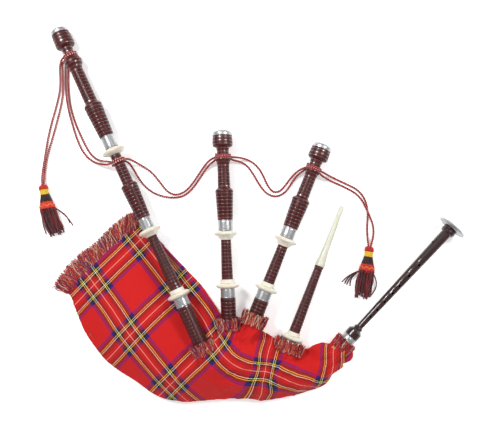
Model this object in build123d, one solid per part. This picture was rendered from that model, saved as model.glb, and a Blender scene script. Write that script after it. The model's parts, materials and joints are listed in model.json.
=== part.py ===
from build123d import *
import math
import os

os.makedirs("parts", exist_ok=True)

# Great Highland style bagpipes, lying at rest on a flat surface.
# Millimetres. +Z up from the surface, +X towards the chanter's sole, +Y towards the bass drone's bell.
# The origin is on the surface, under the middle of the whole instrument.

# ---------------------------------------------------------------- driving dimensions

# Each pipe's axis starts at the mouth of its sleeve in the bag cover and runs to its far end.
BASS_FOOT, BASS_TIP = Vector(-122, -295, 60), Vector(-454, 422, 21)
TENOR_1_FOOT, TENOR_1_TIP = Vector(-62.5, -251, 40), Vector(-79, 193, 22)
TENOR_2_FOOT, TENOR_2_TIP = Vector(-3.5, -232.5, 40), Vector(151.5, 157, 23)
BLOWPIPE_FOOT, BLOWPIPE_TIP = Vector(70.5, -308.5, 34), Vector(199, 19.5, 7)
CHANTER_FOOT, CHANTER_TIP = Vector(185.5, -309, 34), Vector(446, -28.5, 34)

# Distance along each axis from the sleeve's mouth to the mouth of the stock.
BASS_STOCK_MOUTH = 120
TENOR_1_STOCK_MOUTH = 83.5
TENOR_2_STOCK_MOUTH = 63
BLOWPIPE_STOCK_MOUTH = 23
CHANTER_STOCK_MOUTH = 42.5

RUNNING_CLEARANCE = 0.05
CLOTH_GAP = 0.3

STOCK_BORE = 10.4
STOCK_RADIUS = 17.2
BASS_STOCK_RADIUS = 16.4
CHANTER_STOCK_RADIUS = 16.2
STOCK_TURNED_DOWN = 15.2
FERRULE_LENGTH = 21.5
FERRULE_RADIUS = 16.8
BINDING_DEPTH = 1.6

TENON_CORE = 9.2
TENON_LENGTH = 44
PIN_CORE = 8.2
PIN_HEMP_RADIUS = 9.25
MOUNT_CORE = 10
DISC_RADIUS = 26.6

CORD_RADIUS = 2.3
CLOTH = 2.0
LEATHER = 2.0


# ---------------------------------------------------------------- helpers


def frame_of(foot, tip):
    """A plane at the foot of a pipe with its normal along the pipe."""
    return Plane(origin=foot, z_dir=tip - foot)


def turned(frame, outer, bore=None, offset=0):
    """A lathe-turned solid. outer and bore list (distance along the axis, radius)."""
    near, far = outer[0][0], outer[-1][0]
    inner = bore if bore else [(near, 0), (far, 0)]
    outline = [(radius, along + offset) for along, radius in outer + inner[::-1]]
    face = make_face(Plane.XZ * Polyline(*outline, close=True))
    return frame.location * revolve(face, axis=Axis.Z)


def sleeve(frame, start, end, inner, outer, offset=0):
    """A plain tube between two distances along a pipe."""
    return turned(frame, [(start, outer), (end, outer)], [(start, inner), (end, inner)], offset)


def write(name, *solids):
    """Write one sub-part, of one or more separate solids, as its own STEP file."""
    shape = solids[0] if len(solids) == 1 else Compound(children=list(solids))
    export_step(shape, f"parts/{name}.step")


def along(foot, tip, distance):
    """The point at a distance along a pipe's axis."""
    return foot + (tip - foot).normalized() * distance


BASS = frame_of(BASS_FOOT, BASS_TIP)
TENOR_1 = frame_of(TENOR_1_FOOT, TENOR_1_TIP)
TENOR_2 = frame_of(TENOR_2_FOOT, TENOR_2_TIP)
BLOWPIPE = frame_of(BLOWPIPE_FOOT, BLOWPIPE_TIP)
CHANTER = frame_of(CHANTER_FOOT, CHANTER_TIP)

# ---------------------------------------------------------------- stocks

# name: frame, mouth of the stock, whole length, outside radius, ferrule length
STOCKS = {
    "bass": (BASS, BASS_STOCK_MOUTH, 150, BASS_STOCK_RADIUS, FERRULE_LENGTH),
    "tenor_1": (TENOR_1, TENOR_1_STOCK_MOUTH, 112, STOCK_RADIUS, FERRULE_LENGTH),
    "tenor_2": (TENOR_2, TENOR_2_STOCK_MOUTH, 112, STOCK_RADIUS, FERRULE_LENGTH),
    "blowpipe": (BLOWPIPE, BLOWPIPE_STOCK_MOUTH, 78, STOCK_RADIUS, 14),
    "chanter": (CHANTER, CHANTER_STOCK_MOUTH, 84, CHANTER_STOCK_RADIUS, 13.5),
}


def stock(frame, mouth, length, radius, ferrule):
    """A stock: a short wooden tube, turned down at its mouth for the ferrule."""
    back = mouth - length
    shoulder = mouth - ferrule
    outer = [
        (back, radius - 1.5),
        (back + 3, radius),
        (back + 12, radius),
        (back + 13, radius - 1.2),
        (back + 17, radius - 1.2),
        (back + 18, radius),
        (shoulder, radius),
        (shoulder, STOCK_TURNED_DOWN),
        (mouth - 1, STOCK_TURNED_DOWN),
    ]
    return turned(frame, outer, [(back, STOCK_BORE), (mouth - 1, STOCK_BORE)])


def stock_ferrule(frame, mouth, ferrule):
    """A rolled metal ring over the mouth of a stock, beaded at both ends, with a lip over the wood."""
    near, far = mouth - ferrule, mouth - 0.4
    outer = [
        (near, FERRULE_RADIUS - 0.5),
        (near + 0.8, FERRULE_RADIUS + 0.3),
        (near + 2.6, FERRULE_RADIUS + 0.3),
        (near + 3.2, FERRULE_RADIUS - 0.5),
        (far - 3.2, FERRULE_RADIUS - 0.5),
        (far - 2.6, FERRULE_RADIUS + 0.3),
        (far - 0.8, FERRULE_RADIUS + 0.3),
        (far, FERRULE_RADIUS - 0.6),
    ]
    inner = [
        (near, STOCK_TURNED_DOWN),
        (mouth - 1, STOCK_TURNED_DOWN),
        (mouth - 1, STOCK_BORE + 0.2),
        (far, STOCK_BORE + 0.2),
    ]
    return turned(frame, outer, inner)


for stock_name, (frame, mouth, length, radius, ferrule) in STOCKS.items():
    write(f"{stock_name}_stock", stock(frame, mouth, length, radius, ferrule))

write(
    "drone_stock_ferrules",
    *[stock_ferrule(*STOCKS[n][0:2], STOCKS[n][4]) for n in ("bass", "tenor_1", "tenor_2")],
)
write("blowpipe_stock_ferrule", stock_ferrule(*STOCKS["blowpipe"][0:2], STOCKS["blowpipe"][4]))
write("chanter_stock_ferrule", stock_ferrule(*STOCKS["chanter"][0:2], STOCKS["chanter"][4]))

# ---------------------------------------------------------------- bag and cover

# Ribs of the bag cover, from its fringed back end to the chanter: the upper edge, the lower edge,
# and the height above the surface at a quarter, a half and three quarters of the way across.
RIBS = [
    ((-262, -15), (-427, -203), (9, 11, 9)),
    ((-218, -64), (-398, -279), (15, 24, 20)),
    ((-171, -116), (-348, -341), (19, 38, 34)),
    ((-125, -165), (-283, -387), (23, 46, 44)),
    ((-95, -209), (-218, -426), (34, 54, 50)),
    ((-70, -240), (-144, -432), (66, 84, 58)),
    ((-22, -256), (-63, -422), (66, 72, 56)),
    ((31, -277), (6, -427), (64, 68, 56)),
    ((76, -306), (77, -418), (58, 64, 54)),
    ((127, -311), (141, -403), (50, 56, 50)),
    ((165, -300), (200, -350), (42, 52, 44)),
]


def rib_face(rib, inset):
    """One upright section of the bag, flat underneath, drawn in from the cover's outside by inset."""
    upper, lower, (upper_quarter, middle, lower_quarter) = rib
    top, foot = Vector(*upper, 0), Vector(*lower, 0)
    chord = (top - foot).normalized()
    plane = Plane(origin=(top + foot) * 0.5, x_dir=chord, z_dir=chord.cross(Vector(0, 0, 1)))
    half = (top - foot).length / 2 - inset * 1.5
    edge_height = min(upper_quarter, lower_quarter) * 0.35
    floor = Line((-half * 0.96, inset), (half * 0.96, inset))
    crown = Spline(
        (half * 0.96, inset),
        (half, max(edge_height, inset + 1.5)),
        (half / 2, upper_quarter - inset),
        (0, middle - inset),
        (-half / 2, lower_quarter - inset),
        (-half, max(edge_height, inset + 1.5)),
        (-half * 0.96, inset),
    )
    return plane * make_face([floor, crown])


def bag_body(inset, ribs=RIBS):
    """The bag's body as a loft over its ribs."""
    return loft([rib_face(rib, inset) for rib in ribs])


BAG_OUTSIDE_INSET = CLOTH + CLOTH_GAP
BAG_INSIDE_INSET = BAG_OUTSIDE_INSET + LEATHER
NECK_REACH = 20
NECK_WALL = CLOTH_GAP + LEATHER
NECK_MOUTH = {"bass": -8, "tenor_1": -2, "tenor_2": -8, "blowpipe": -4, "chanter": 4}
BINDING_SETBACK = 6
BINDING_WIDTH = 6

# Sleeves of the cover: distance of the mouth along the pipe, radius at the root, radius at the mouth.
SLEEVES = {
    "bass": (0, 23, 25),
    "tenor_1": (8, 23.5, 25),
    "tenor_2": (0, 23.5, 27),
    "blowpipe": (14, 23.5, 31),
    "chanter": (22, 22.5, 21.5),
}


def neck_body(name, radius):
    """A solid cylinder along the whole neck of the bag."""
    frame, mouth, length = STOCKS[name][0:3]
    back = mouth - length - NECK_REACH
    return turned(frame, [(back, radius), (NECK_MOUTH[name], radius)])


def binding(name):
    """Waxed hemp tied round one neck of the bag."""
    frame, radius = STOCKS[name][0], STOCKS[name][3] + NECK_WALL
    middle = NECK_MOUTH[name] - BINDING_SETBACK
    return sleeve(frame, middle - BINDING_WIDTH / 2, middle + BINDING_WIDTH / 2, radius, radius + BINDING_DEPTH)


def binding_room(name):
    """The room that a binding takes up, with some play."""
    frame, radius = STOCKS[name][0], STOCKS[name][3] + NECK_WALL + BINDING_DEPTH + CLOTH_GAP
    middle = NECK_MOUTH[name] - BINDING_SETBACK
    half = BINDING_WIDTH / 2 + CLOTH_GAP
    return turned(frame, [(middle - half, radius), (middle + half, radius)])


def stock_hole(name):
    """The hole that a stock fills in the bag and the cover."""
    frame, mouth, length, radius = STOCKS[name][0:4]
    back = mouth - length
    end = mouth - STOCKS[name][4] - 2
    return turned(frame, [(back - CLOTH_GAP, radius + CLOTH_GAP), (end, radius + CLOTH_GAP)])


def bag():
    """The leather bag: a hollow body with a short neck round each stock."""
    body = bag_body(BAG_OUTSIDE_INSET)
    for name in STOCKS:
        body -= binding_room(name)
        body += neck_body(name, STOCKS[name][3] + NECK_WALL)
    body -= bag_body(BAG_INSIDE_INSET)
    for name in STOCKS:
        body -= stock_hole(name)
    return body


# The cover's underside is trimmed by this much, to a true plane that the instrument rests on.
RESTING_TRIM = 0.05
RESTING_SLAB = 60


def sleeve_cone(name, thinner):
    """A cover sleeve as a solid cone, thinner than its outside by a distance."""
    frame, stock_mouth, length = STOCKS[name][0:3]
    mouth, root, flare = SLEEVES[name]
    start = stock_mouth - length - NECK_REACH - 2 * CLOTH + thinner
    return turned(frame, [(start, root - thinner), (mouth + thinner, flare - thinner)])


def cover():
    """The cloth cover: a closed shell over the bag with a flared sleeve round each stock."""
    body = bag_body(0)
    for name in SLEEVES:
        body += sleeve_cone(name, 0)
    body -= bag_body(CLOTH)
    for name in SLEEVES:
        body -= sleeve_cone(name, CLOTH)
        body -= stock_hole(name)
        body -= binding_room(name)
    return body - Pos(0, 0, RESTING_TRIM - RESTING_SLAB / 2) * Box(RESTING_SLAB * 20, RESTING_SLAB * 20, RESTING_SLAB)


write("bag", bag())
write("bag_cover", cover())
write("stock_bindings", *[binding(name) for name in STOCKS])

# ---------------------------------------------------------------- fringes of the cover

# Outline of the fringe along the cover's back end, seam side first.
END_FRINGE = [
    (-266, -13),
    (-288, 5),
    (-330, -22),
    (-376, -68),
    (-436, -115),
    (-474, -166),
    (-449, -184),
    (-431, -200),
]
END_FRINGE_THICKNESS = 7


def end_fringe():
    """The fringe along the back end, lying on the surface, thinner towards its tips."""
    flat = make_face(Polyline(*END_FRINGE, close=True))
    slab = extrude(Pos(0, 0, 0.4) * flat, END_FRINGE_THICKNESS)
    return slab - bag_body(-CLOTH_GAP)


def collar_fringe(name):
    """The short fringe round a sleeve's mouth."""
    frame = STOCKS[name][0]
    mouth, _, flare = SLEEVES[name]
    near, far = mouth + CLOTH_GAP, mouth + 9
    outer = [(near, flare - 0.5), (far, flare + 2.5)]
    ring = turned(frame, outer, [(near, flare - 3.5), (far, flare - 0.5)])
    return ring - bag_body(-CLOTH_GAP)


write("cover_end_fringe", end_fringe())
write("collar_fringes", *[collar_fringe(name) for name in SLEEVES])

# ---------------------------------------------------------------- drone joints

DISC_LENGTH = 11.2
LOWER_STUB = 9
REED_SEAT_RADIUS = 3.4
REED_SEAT_DEPTH = 14


def mount_ring(frame, start, stub_before, stub_after, core, stub_radius, offset):
    """A projecting mount: a rounded disc with a plain stub before or behind it."""
    disc = start + stub_before
    end = disc + DISC_LENGTH
    outer = [(start, stub_radius), (disc, stub_radius)] if stub_before else []
    outer += [
        (disc, DISC_RADIUS - 7),
        (disc + 1.6, DISC_RADIUS - 3.6),
        (disc + 3.4, DISC_RADIUS - 0.9),
        (disc + 5.6, DISC_RADIUS),
        (disc + 7.8, DISC_RADIUS - 0.9),
        (disc + 9.6, DISC_RADIUS - 3.6),
        (end, DISC_RADIUS - 7),
    ]
    if stub_after:
        outer += [(end, stub_radius), (end + stub_after, stub_radius)]
    last = outer[-1][0]
    return turned(frame, outer, [(start, core), (last, core)], offset)


def bottom_joint(frame, offset, foot_radius, end, end_radius, top_stub, pin_length, bore):
    """A drone's bottom joint: tenon for the stock, body, and tuning pin."""
    body_start = DISC_LENGTH + LOWER_STUB
    pin_start = end + top_stub + DISC_LENGTH
    outer = [
        (-TENON_LENGTH, TENON_CORE - 0.6),
        (-TENON_LENGTH + 1, TENON_CORE),
        (0, TENON_CORE),
        (0, MOUNT_CORE),
        (body_start, MOUNT_CORE),
        (body_start, foot_radius),
        (body_start + 8, foot_radius),
        (end, end_radius),
        (end, PIN_CORE + 0.6),
        (pin_start, PIN_CORE + 0.6),
        (pin_start, PIN_CORE),
        (pin_start + pin_length, PIN_CORE),
    ]
    inner = [
        (-TENON_LENGTH, REED_SEAT_RADIUS),
        (-TENON_LENGTH + REED_SEAT_DEPTH, REED_SEAT_RADIUS),
        (-TENON_LENGTH + REED_SEAT_DEPTH, bore),
        (pin_start + pin_length, bore),
    ]
    return turned(frame, outer, inner, offset)


def tenon_hemp(frame, offset):
    """Hemp wound on a tenon that sits in a stock."""
    radius = STOCK_BORE - RUNNING_CLEARANCE
    return sleeve(frame, -TENON_LENGTH + 3, -2, TENON_CORE, radius, offset)


def pin_hemp(frame, start, length, offset):
    """Hemp wound on a tuning pin."""
    return sleeve(frame, start + 0.5, start + length - 3, PIN_CORE, PIN_HEMP_RADIUS, offset)


def drone_reed(frame, offset):
    """A cane reed: a tube seated in the tenon, closed at its far end, with its tongue cut in its side."""
    seat = -TENON_LENGTH
    outer = [
        (seat - 54, 3.2),
        (seat - 53, 4.2),
        (seat - 0.5, 4.2),
        (seat - 0.5, REED_SEAT_RADIUS),
        (seat + REED_SEAT_DEPTH - 1, REED_SEAT_RADIUS),
    ]
    body = turned(frame, outer, offset=offset)
    bore = turned(frame, [(seat - 50, 2.4), (seat + REED_SEAT_DEPTH, 2.4)], offset=offset)
    slit = Pos(0, 3.6, seat + offset - 28) * Box(3.4, 0.3, 36)
    return body - bore - frame.location * slit


def reed_bridle(frame, offset):
    """The rubber bridle that sets a drone reed's tongue."""
    return sleeve(frame, -TENON_LENGTH - 14, -TENON_LENGTH - 11, 4.2, 5.4, offset)


# Tenor drones: distances from the mouth of the stock.
TENOR_JOINT_END = 110
TENOR_TOP_STUB = 8.5
TENOR_PIN = 62
TENOR_TOP_START = 131.5
TENOR_FERRULE = 24
TENOR_CHAMBER_END = 227
TENOR_BEAD_START = 280
TENOR_BEAD_END = 298
TENOR_CAP_START = 321
TENOR_RING_START = 348
TENOR_END = 359.5
TENOR_BORE = 4.2
TENOR_RING_CORE = 17.5
BELL_OUTLET_RADIUS = 7.5
CHAMBER_BORE = PIN_HEMP_RADIUS + RUNNING_CLEARANCE


def tenor_top_joint(frame, offset):
    """A tenor's top joint: chamber, slender barrel, cord guide bead, neck and bell."""
    outer = [
        (TENOR_TOP_START, 14.6),
        (TENOR_TOP_START + TENOR_FERRULE, 14.6),
        (TENOR_TOP_START + TENOR_FERRULE, 17.2),
        (TENOR_CHAMBER_END - 8, 20.2),
        (TENOR_CHAMBER_END - 3, 19.6),
        (TENOR_CHAMBER_END, 16.6),
        (TENOR_CHAMBER_END + 0.5, 14.2),
        (TENOR_BEAD_START, 13.4),
        (TENOR_BEAD_START + 6, 14.4),
        (TENOR_BEAD_END - 4, 17.2),
        (TENOR_BEAD_END, 15.8),
        (TENOR_BEAD_END + 1, 13.6),
        (TENOR_CAP_START - 8, 13.2),
        (TENOR_CAP_START, 15),
        (TENOR_CAP_START + 2.5, 21),
        (TENOR_CAP_START + 7, 23.2),
        (TENOR_RING_START, 22.2),
        (TENOR_RING_START, TENOR_RING_CORE),
        (TENOR_END - 1.2, TENOR_RING_CORE),
    ]
    inner = [
        (TENOR_TOP_START, CHAMBER_BORE),
        (TENOR_CHAMBER_END - 12, CHAMBER_BORE),
        (TENOR_CHAMBER_END - 9, 6),
        (TENOR_CAP_START + 1, 6),
        (TENOR_CAP_START + 7, 15),
        (TENOR_RING_START - 4, 15),
        (TENOR_RING_START + 0.5, BELL_OUTLET_RADIUS),
        (TENOR_END - 1.2, BELL_OUTLET_RADIUS),
    ]
    return turned(frame, outer, inner, offset)


def top_ferrule(frame, start, length, inside, outside, offset):
    """A rolled metal ring over the open end of a top or middle joint."""
    end = start + length
    outer = [
        (start - 0.8, outside - 0.4),
        (start, outside + 0.6),
        (start + 2, outside + 0.6),
        (start + 2.6, outside - 0.2),
        (end - 5, outside - 0.2),
        (end - 4.4, outside + 0.5),
        (end - 1, outside + 0.5),
        (end - 0.2, outside),
    ]
    inner = [
        (start - 0.8, CHAMBER_BORE + 0.5),
        (start, CHAMBER_BORE + 0.5),
        (start, inside),
        (end - 0.2, inside),
    ]
    return turned(frame, outer, inner, offset)


def ring_cap(frame, start, end, outside, core, offset):
    """The metal ring over a bell's rim, with a rounded shoulder and a flat lip."""
    outer = [
        (start + 0.1, outside),
        (start + 5.5, outside),
        (end - 3, outside - 1.2),
        (end - 0.8, outside - 3.2),
        (end, outside - 5),
    ]
    inner = [
        (start + 0.1, core),
        (end - 1.2, core),
        (end - 1.2, BELL_OUTLET_RADIUS + 3),
        (end, BELL_OUTLET_RADIUS + 3),
    ]
    return turned(frame, outer, inner, offset)


def cord_wrap(frame, distance, wood_radius, turns=2):
    """Turns of the drone cord round a pipe, side by side."""
    pitch = 2 * CORD_RADIUS + 0.1
    ring = Torus(wood_radius + CORD_RADIUS + 0.2, CORD_RADIUS)
    return [frame.location * (Pos(0, 0, distance + turn * pitch) * ring) for turn in range(turns)]


# ---------------------------------------------------------------- tenor drones

for tenor, frame, mouth in (
    ("tenor_1", TENOR_1, TENOR_1_STOCK_MOUTH),
    ("tenor_2", TENOR_2, TENOR_2_STOCK_MOUTH),
):
    write(
        f"{tenor}_bottom_joint",
        bottom_joint(frame, mouth, 13.1, TENOR_JOINT_END, 11.6, TENOR_TOP_STUB, TENOR_PIN, TENOR_BORE),
    )
    write(
        f"{tenor}_bottom_mounts",
        mount_ring(frame, 0, 0, LOWER_STUB, MOUNT_CORE, 16.2, mouth),
        mount_ring(frame, TENOR_JOINT_END, TENOR_TOP_STUB, 0, PIN_CORE + 0.6, 13.6, mouth),
    )
    pin_start = TENOR_JOINT_END + TENOR_TOP_STUB + DISC_LENGTH
    write(f"{tenor}_hemp", tenon_hemp(frame, mouth), pin_hemp(frame, pin_start, TENOR_PIN, mouth))
    write(f"{tenor}_reed", drone_reed(frame, mouth))
    write(f"{tenor}_reed_bridle", reed_bridle(frame, mouth))
    write(f"{tenor}_top_joint", tenor_top_joint(frame, mouth))
    write(
        f"{tenor}_top_ferrule",
        top_ferrule(frame, TENOR_TOP_START, TENOR_FERRULE, 14.6, 16.6, mouth),
    )
    write(
        f"{tenor}_ring_cap",
        ring_cap(frame, TENOR_RING_START, TENOR_END, 22.6, TENOR_RING_CORE, mouth),
    )

# ---------------------------------------------------------------- bass drone

BASS_JOINT_END = 151.5
BASS_TOP_STUB = 6.5
BASS_PIN = 62
BASS_MIDDLE_START = 174
BASS_MIDDLE_FERRULE = 22.7
BASS_MIDDLE_CHAMBER_END = 282
BASS_MIDDLE_END = 354.5
BASS_MIDDLE_STUB = 3
BASS_TOP_START = 377
BASS_TOP_FERRULE = 24
BASS_TOP_CHAMBER_END = 484
BASS_BEAD_START = 569
BASS_BEAD_END = 604
BASS_CAP_START = 627
BASS_RING_START = 662
BASS_END = 673
BASS_RING_CORE = 15.6


def bass_middle_joint():
    """The bass drone's middle joint: chamber, slender barrel and tuning pin."""
    pin_start = BASS_MIDDLE_END + 2 * BASS_MIDDLE_STUB + DISC_LENGTH
    outer = [
        (BASS_MIDDLE_START, 12.4),
        (BASS_MIDDLE_START + BASS_MIDDLE_FERRULE, 12.4),
        (BASS_MIDDLE_START + BASS_MIDDLE_FERRULE, 15.4),
        (BASS_MIDDLE_CHAMBER_END - 8, 19),
        (BASS_MIDDLE_CHAMBER_END - 3, 18.4),
        (BASS_MIDDLE_CHAMBER_END, 15.4),
        (BASS_MIDDLE_CHAMBER_END + 1, 12.8),
        (BASS_MIDDLE_END, 12.1),
        (BASS_MIDDLE_END, PIN_CORE + 0.6),
        (pin_start, PIN_CORE + 0.6),
        (pin_start, PIN_CORE),
        (pin_start + BASS_PIN, PIN_CORE),
    ]
    inner = [
        (BASS_MIDDLE_START, CHAMBER_BORE),
        (BASS_MIDDLE_CHAMBER_END - 12, CHAMBER_BORE),
        (BASS_MIDDLE_CHAMBER_END - 8, 5.5),
        (pin_start + BASS_PIN, 5.5),
    ]
    return turned(BASS, outer, inner, BASS_STOCK_MOUTH)


def bass_top_joint():
    """The bass drone's top joint: chamber, barrel, cord guide bead, neck and bell."""
    outer = [
        (BASS_TOP_START, 13.2),
        (BASS_TOP_START + BASS_TOP_FERRULE, 13.2),
        (BASS_TOP_START + BASS_TOP_FERRULE, 16.2),
        (BASS_TOP_CHAMBER_END - 8, 20.4),
        (BASS_TOP_CHAMBER_END - 3, 19.6),
        (BASS_TOP_CHAMBER_END, 16.8),
        (BASS_TOP_CHAMBER_END + 0.5, 14.6),
        (BASS_BEAD_START, 13.9),
        (BASS_BEAD_START + 6, 15),
        (BASS_BEAD_START + 15, 19.8),
        (BASS_BEAD_START + 20, 20.5),
        (BASS_BEAD_START + 26, 19.6),
        (BASS_BEAD_END - 2, 15.2),
        (BASS_BEAD_END, 12),
        (BASS_CAP_START - 10, 11.5),
        (BASS_CAP_START, 13),
        (BASS_CAP_START + 2.5, 20),
        (BASS_CAP_START + 7, 22.2),
        (BASS_RING_START, 20.8),
        (BASS_RING_START, BASS_RING_CORE),
        (BASS_END - 1.2, BASS_RING_CORE),
    ]
    inner = [
        (BASS_TOP_START, CHAMBER_BORE),
        (BASS_TOP_CHAMBER_END - 12, CHAMBER_BORE),
        (BASS_TOP_CHAMBER_END - 9, 7),
        (BASS_CAP_START + 1, 7),
        (BASS_CAP_START + 8, 14),
        (BASS_RING_START - 5, 14),
        (BASS_RING_START - 0.5, BELL_OUTLET_RADIUS),
        (BASS_END - 1.2, BELL_OUTLET_RADIUS),
    ]
    return turned(BASS, outer, inner, BASS_STOCK_MOUTH)


write(
    "bass_bottom_joint",
    bottom_joint(BASS, BASS_STOCK_MOUTH, 13.9, BASS_JOINT_END, 10.4, BASS_TOP_STUB, BASS_PIN, 4.5),
)
write(
    "bass_bottom_mounts",
    mount_ring(BASS, 0, 0, LOWER_STUB, MOUNT_CORE, 16.4, BASS_STOCK_MOUTH),
    mount_ring(BASS, BASS_JOINT_END, BASS_TOP_STUB, 0, PIN_CORE + 0.6, 13, BASS_STOCK_MOUTH),
)
bass_pin_start = BASS_JOINT_END + BASS_TOP_STUB + DISC_LENGTH
write(
    "bass_bottom_hemp",
    tenon_hemp(BASS, BASS_STOCK_MOUTH),
    pin_hemp(BASS, bass_pin_start, BASS_PIN, BASS_STOCK_MOUTH),
)
write("bass_reed", drone_reed(BASS, BASS_STOCK_MOUTH))
write("bass_reed_bridle", reed_bridle(BASS, BASS_STOCK_MOUTH))

write("bass_middle_joint", bass_middle_joint())
write(
    "bass_middle_ferrule",
    top_ferrule(BASS, BASS_MIDDLE_START, BASS_MIDDLE_FERRULE, 12.4, 14.2, BASS_STOCK_MOUTH),
)
write(
    "bass_middle_mount",
    mount_ring(
        BASS, BASS_MIDDLE_END, BASS_MIDDLE_STUB, BASS_MIDDLE_STUB, PIN_CORE + 0.6, 13, BASS_STOCK_MOUTH
    ),
)
middle_pin_start = BASS_MIDDLE_END + 2 * BASS_MIDDLE_STUB + DISC_LENGTH
write("bass_middle_hemp", pin_hemp(BASS, middle_pin_start, BASS_PIN, BASS_STOCK_MOUTH))

write("bass_top_joint", bass_top_joint())
write(
    "bass_top_ferrule",
    top_ferrule(BASS, BASS_TOP_START, BASS_TOP_FERRULE, 13.2, 15, BASS_STOCK_MOUTH),
)
write("bass_ring_cap", ring_cap(BASS, BASS_RING_START, BASS_END, 20.6, BASS_RING_CORE, BASS_STOCK_MOUTH))

# ---------------------------------------------------------------- blowpipe

BLOW_TENON = 30
BLOW_BORE = 6
BLOW_END = 180.5
BLOW_SOCKET_RADIUS = 6.8
BLOW_SOCKET_DEPTH = 20
MOUTHPIECE_END = 329
MOUTHPIECE_BORE = 3.2
FLAP_RADIUS = 7.6
FLAP_THICKNESS = 1.2


def blowpipe_body():
    """The blowpipe's wooden tube with its tenon and the socket for the mouthpiece."""
    body_start = DISC_LENGTH + LOWER_STUB
    outer = [
        (-BLOW_TENON, TENON_CORE),
        (0, TENON_CORE),
        (0, MOUNT_CORE),
        (body_start, MOUNT_CORE),
        (body_start, 12.6),
        (BLOW_END - 6, 9.6),
        (BLOW_END - 5, 10.6),
        (BLOW_END, 10.6),
    ]
    inner = [
        (-BLOW_TENON, BLOW_BORE),
        (BLOW_END - BLOW_SOCKET_DEPTH, BLOW_BORE),
        (BLOW_END - BLOW_SOCKET_DEPTH, BLOW_SOCKET_RADIUS),
        (BLOW_END, BLOW_SOCKET_RADIUS),
    ]
    return turned(BLOWPIPE, outer, inner, BLOWPIPE_STOCK_MOUTH)


def mouthpiece():
    """The tapered mouthpiece with a rounded tip and a tenon into the blowpipe."""
    start = BLOW_END + CLOTH_GAP
    tenon = BLOW_SOCKET_RADIUS - RUNNING_CLEARANCE
    outer = [
        (BLOW_END - BLOW_SOCKET_DEPTH + 1, tenon),
        (start, tenon),
        (start, 11.6),
        (start + 8, 11.4),
        (start + 37, 8.2),
        (MOUTHPIECE_END - 4, 5.2),
        (MOUTHPIECE_END - 1, 4.8),
        (MOUTHPIECE_END, 4),
    ]
    inner = [(BLOW_END - BLOW_SOCKET_DEPTH + 1, MOUTHPIECE_BORE), (MOUTHPIECE_END, MOUTHPIECE_BORE)]
    return turned(BLOWPIPE, outer, inner, BLOWPIPE_STOCK_MOUTH)


def valve_flap():
    """The leather flap that hangs over the blowpipe's inner end and stops air coming back."""
    near = -BLOW_TENON - CLOTH_GAP - FLAP_THICKNESS
    return turned(
        BLOWPIPE, [(near, FLAP_RADIUS), (near + FLAP_THICKNESS, FLAP_RADIUS)], offset=BLOWPIPE_STOCK_MOUTH
    )


write("blowpipe_body", blowpipe_body())
write("blowpipe_mount", mount_ring(BLOWPIPE, 0, 0, LOWER_STUB, MOUNT_CORE, 15.4, BLOWPIPE_STOCK_MOUTH))
write(
    "blowpipe_hemp",
    sleeve(
        BLOWPIPE, -BLOW_TENON + 3, -2, TENON_CORE, STOCK_BORE - RUNNING_CLEARANCE, BLOWPIPE_STOCK_MOUTH
    ),
)
write("blowpipe_valve_flap", valve_flap())
write("mouthpiece", mouthpiece())

# ---------------------------------------------------------------- chanter

CHANTER_TENON = 26
CHANTER_BULB = 20.5
CHANTER_BODY_START = 30.5
CHANTER_BODY_END = 319
CHANTER_FOOT_BEAD_END = 335.5
SOLE_THICKNESS = 6
SOLE_RADIUS = 33.6
SOLE_CORE = 12.8
CHANTER_HOLE_TILT = 12
# Distance from the mouth of the stock and radius of each finger hole.
FINGER_HOLES = [
    (63.5, 2.5),
    (85.5, 2.7),
    (110, 2.8),
    (136.5, 2.9),
    (159.5, 3.0),
    (191, 3.1),
    (224, 3.0),
]
THUMB_HOLE = (52, 2.5)
VENT_HOLES_AT = 285
VENT_HOLE_RADIUS = 3.4


def cross_hole(distance, radius, direction):
    """A drill into the chanter's bore from one side."""
    point = along(CHANTER_FOOT, CHANTER_TIP, CHANTER_STOCK_MOUTH + distance)
    drill = Plane(origin=point, z_dir=direction)
    return drill.location * (Pos(0, 0, 10) * Cylinder(radius, 20))


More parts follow.
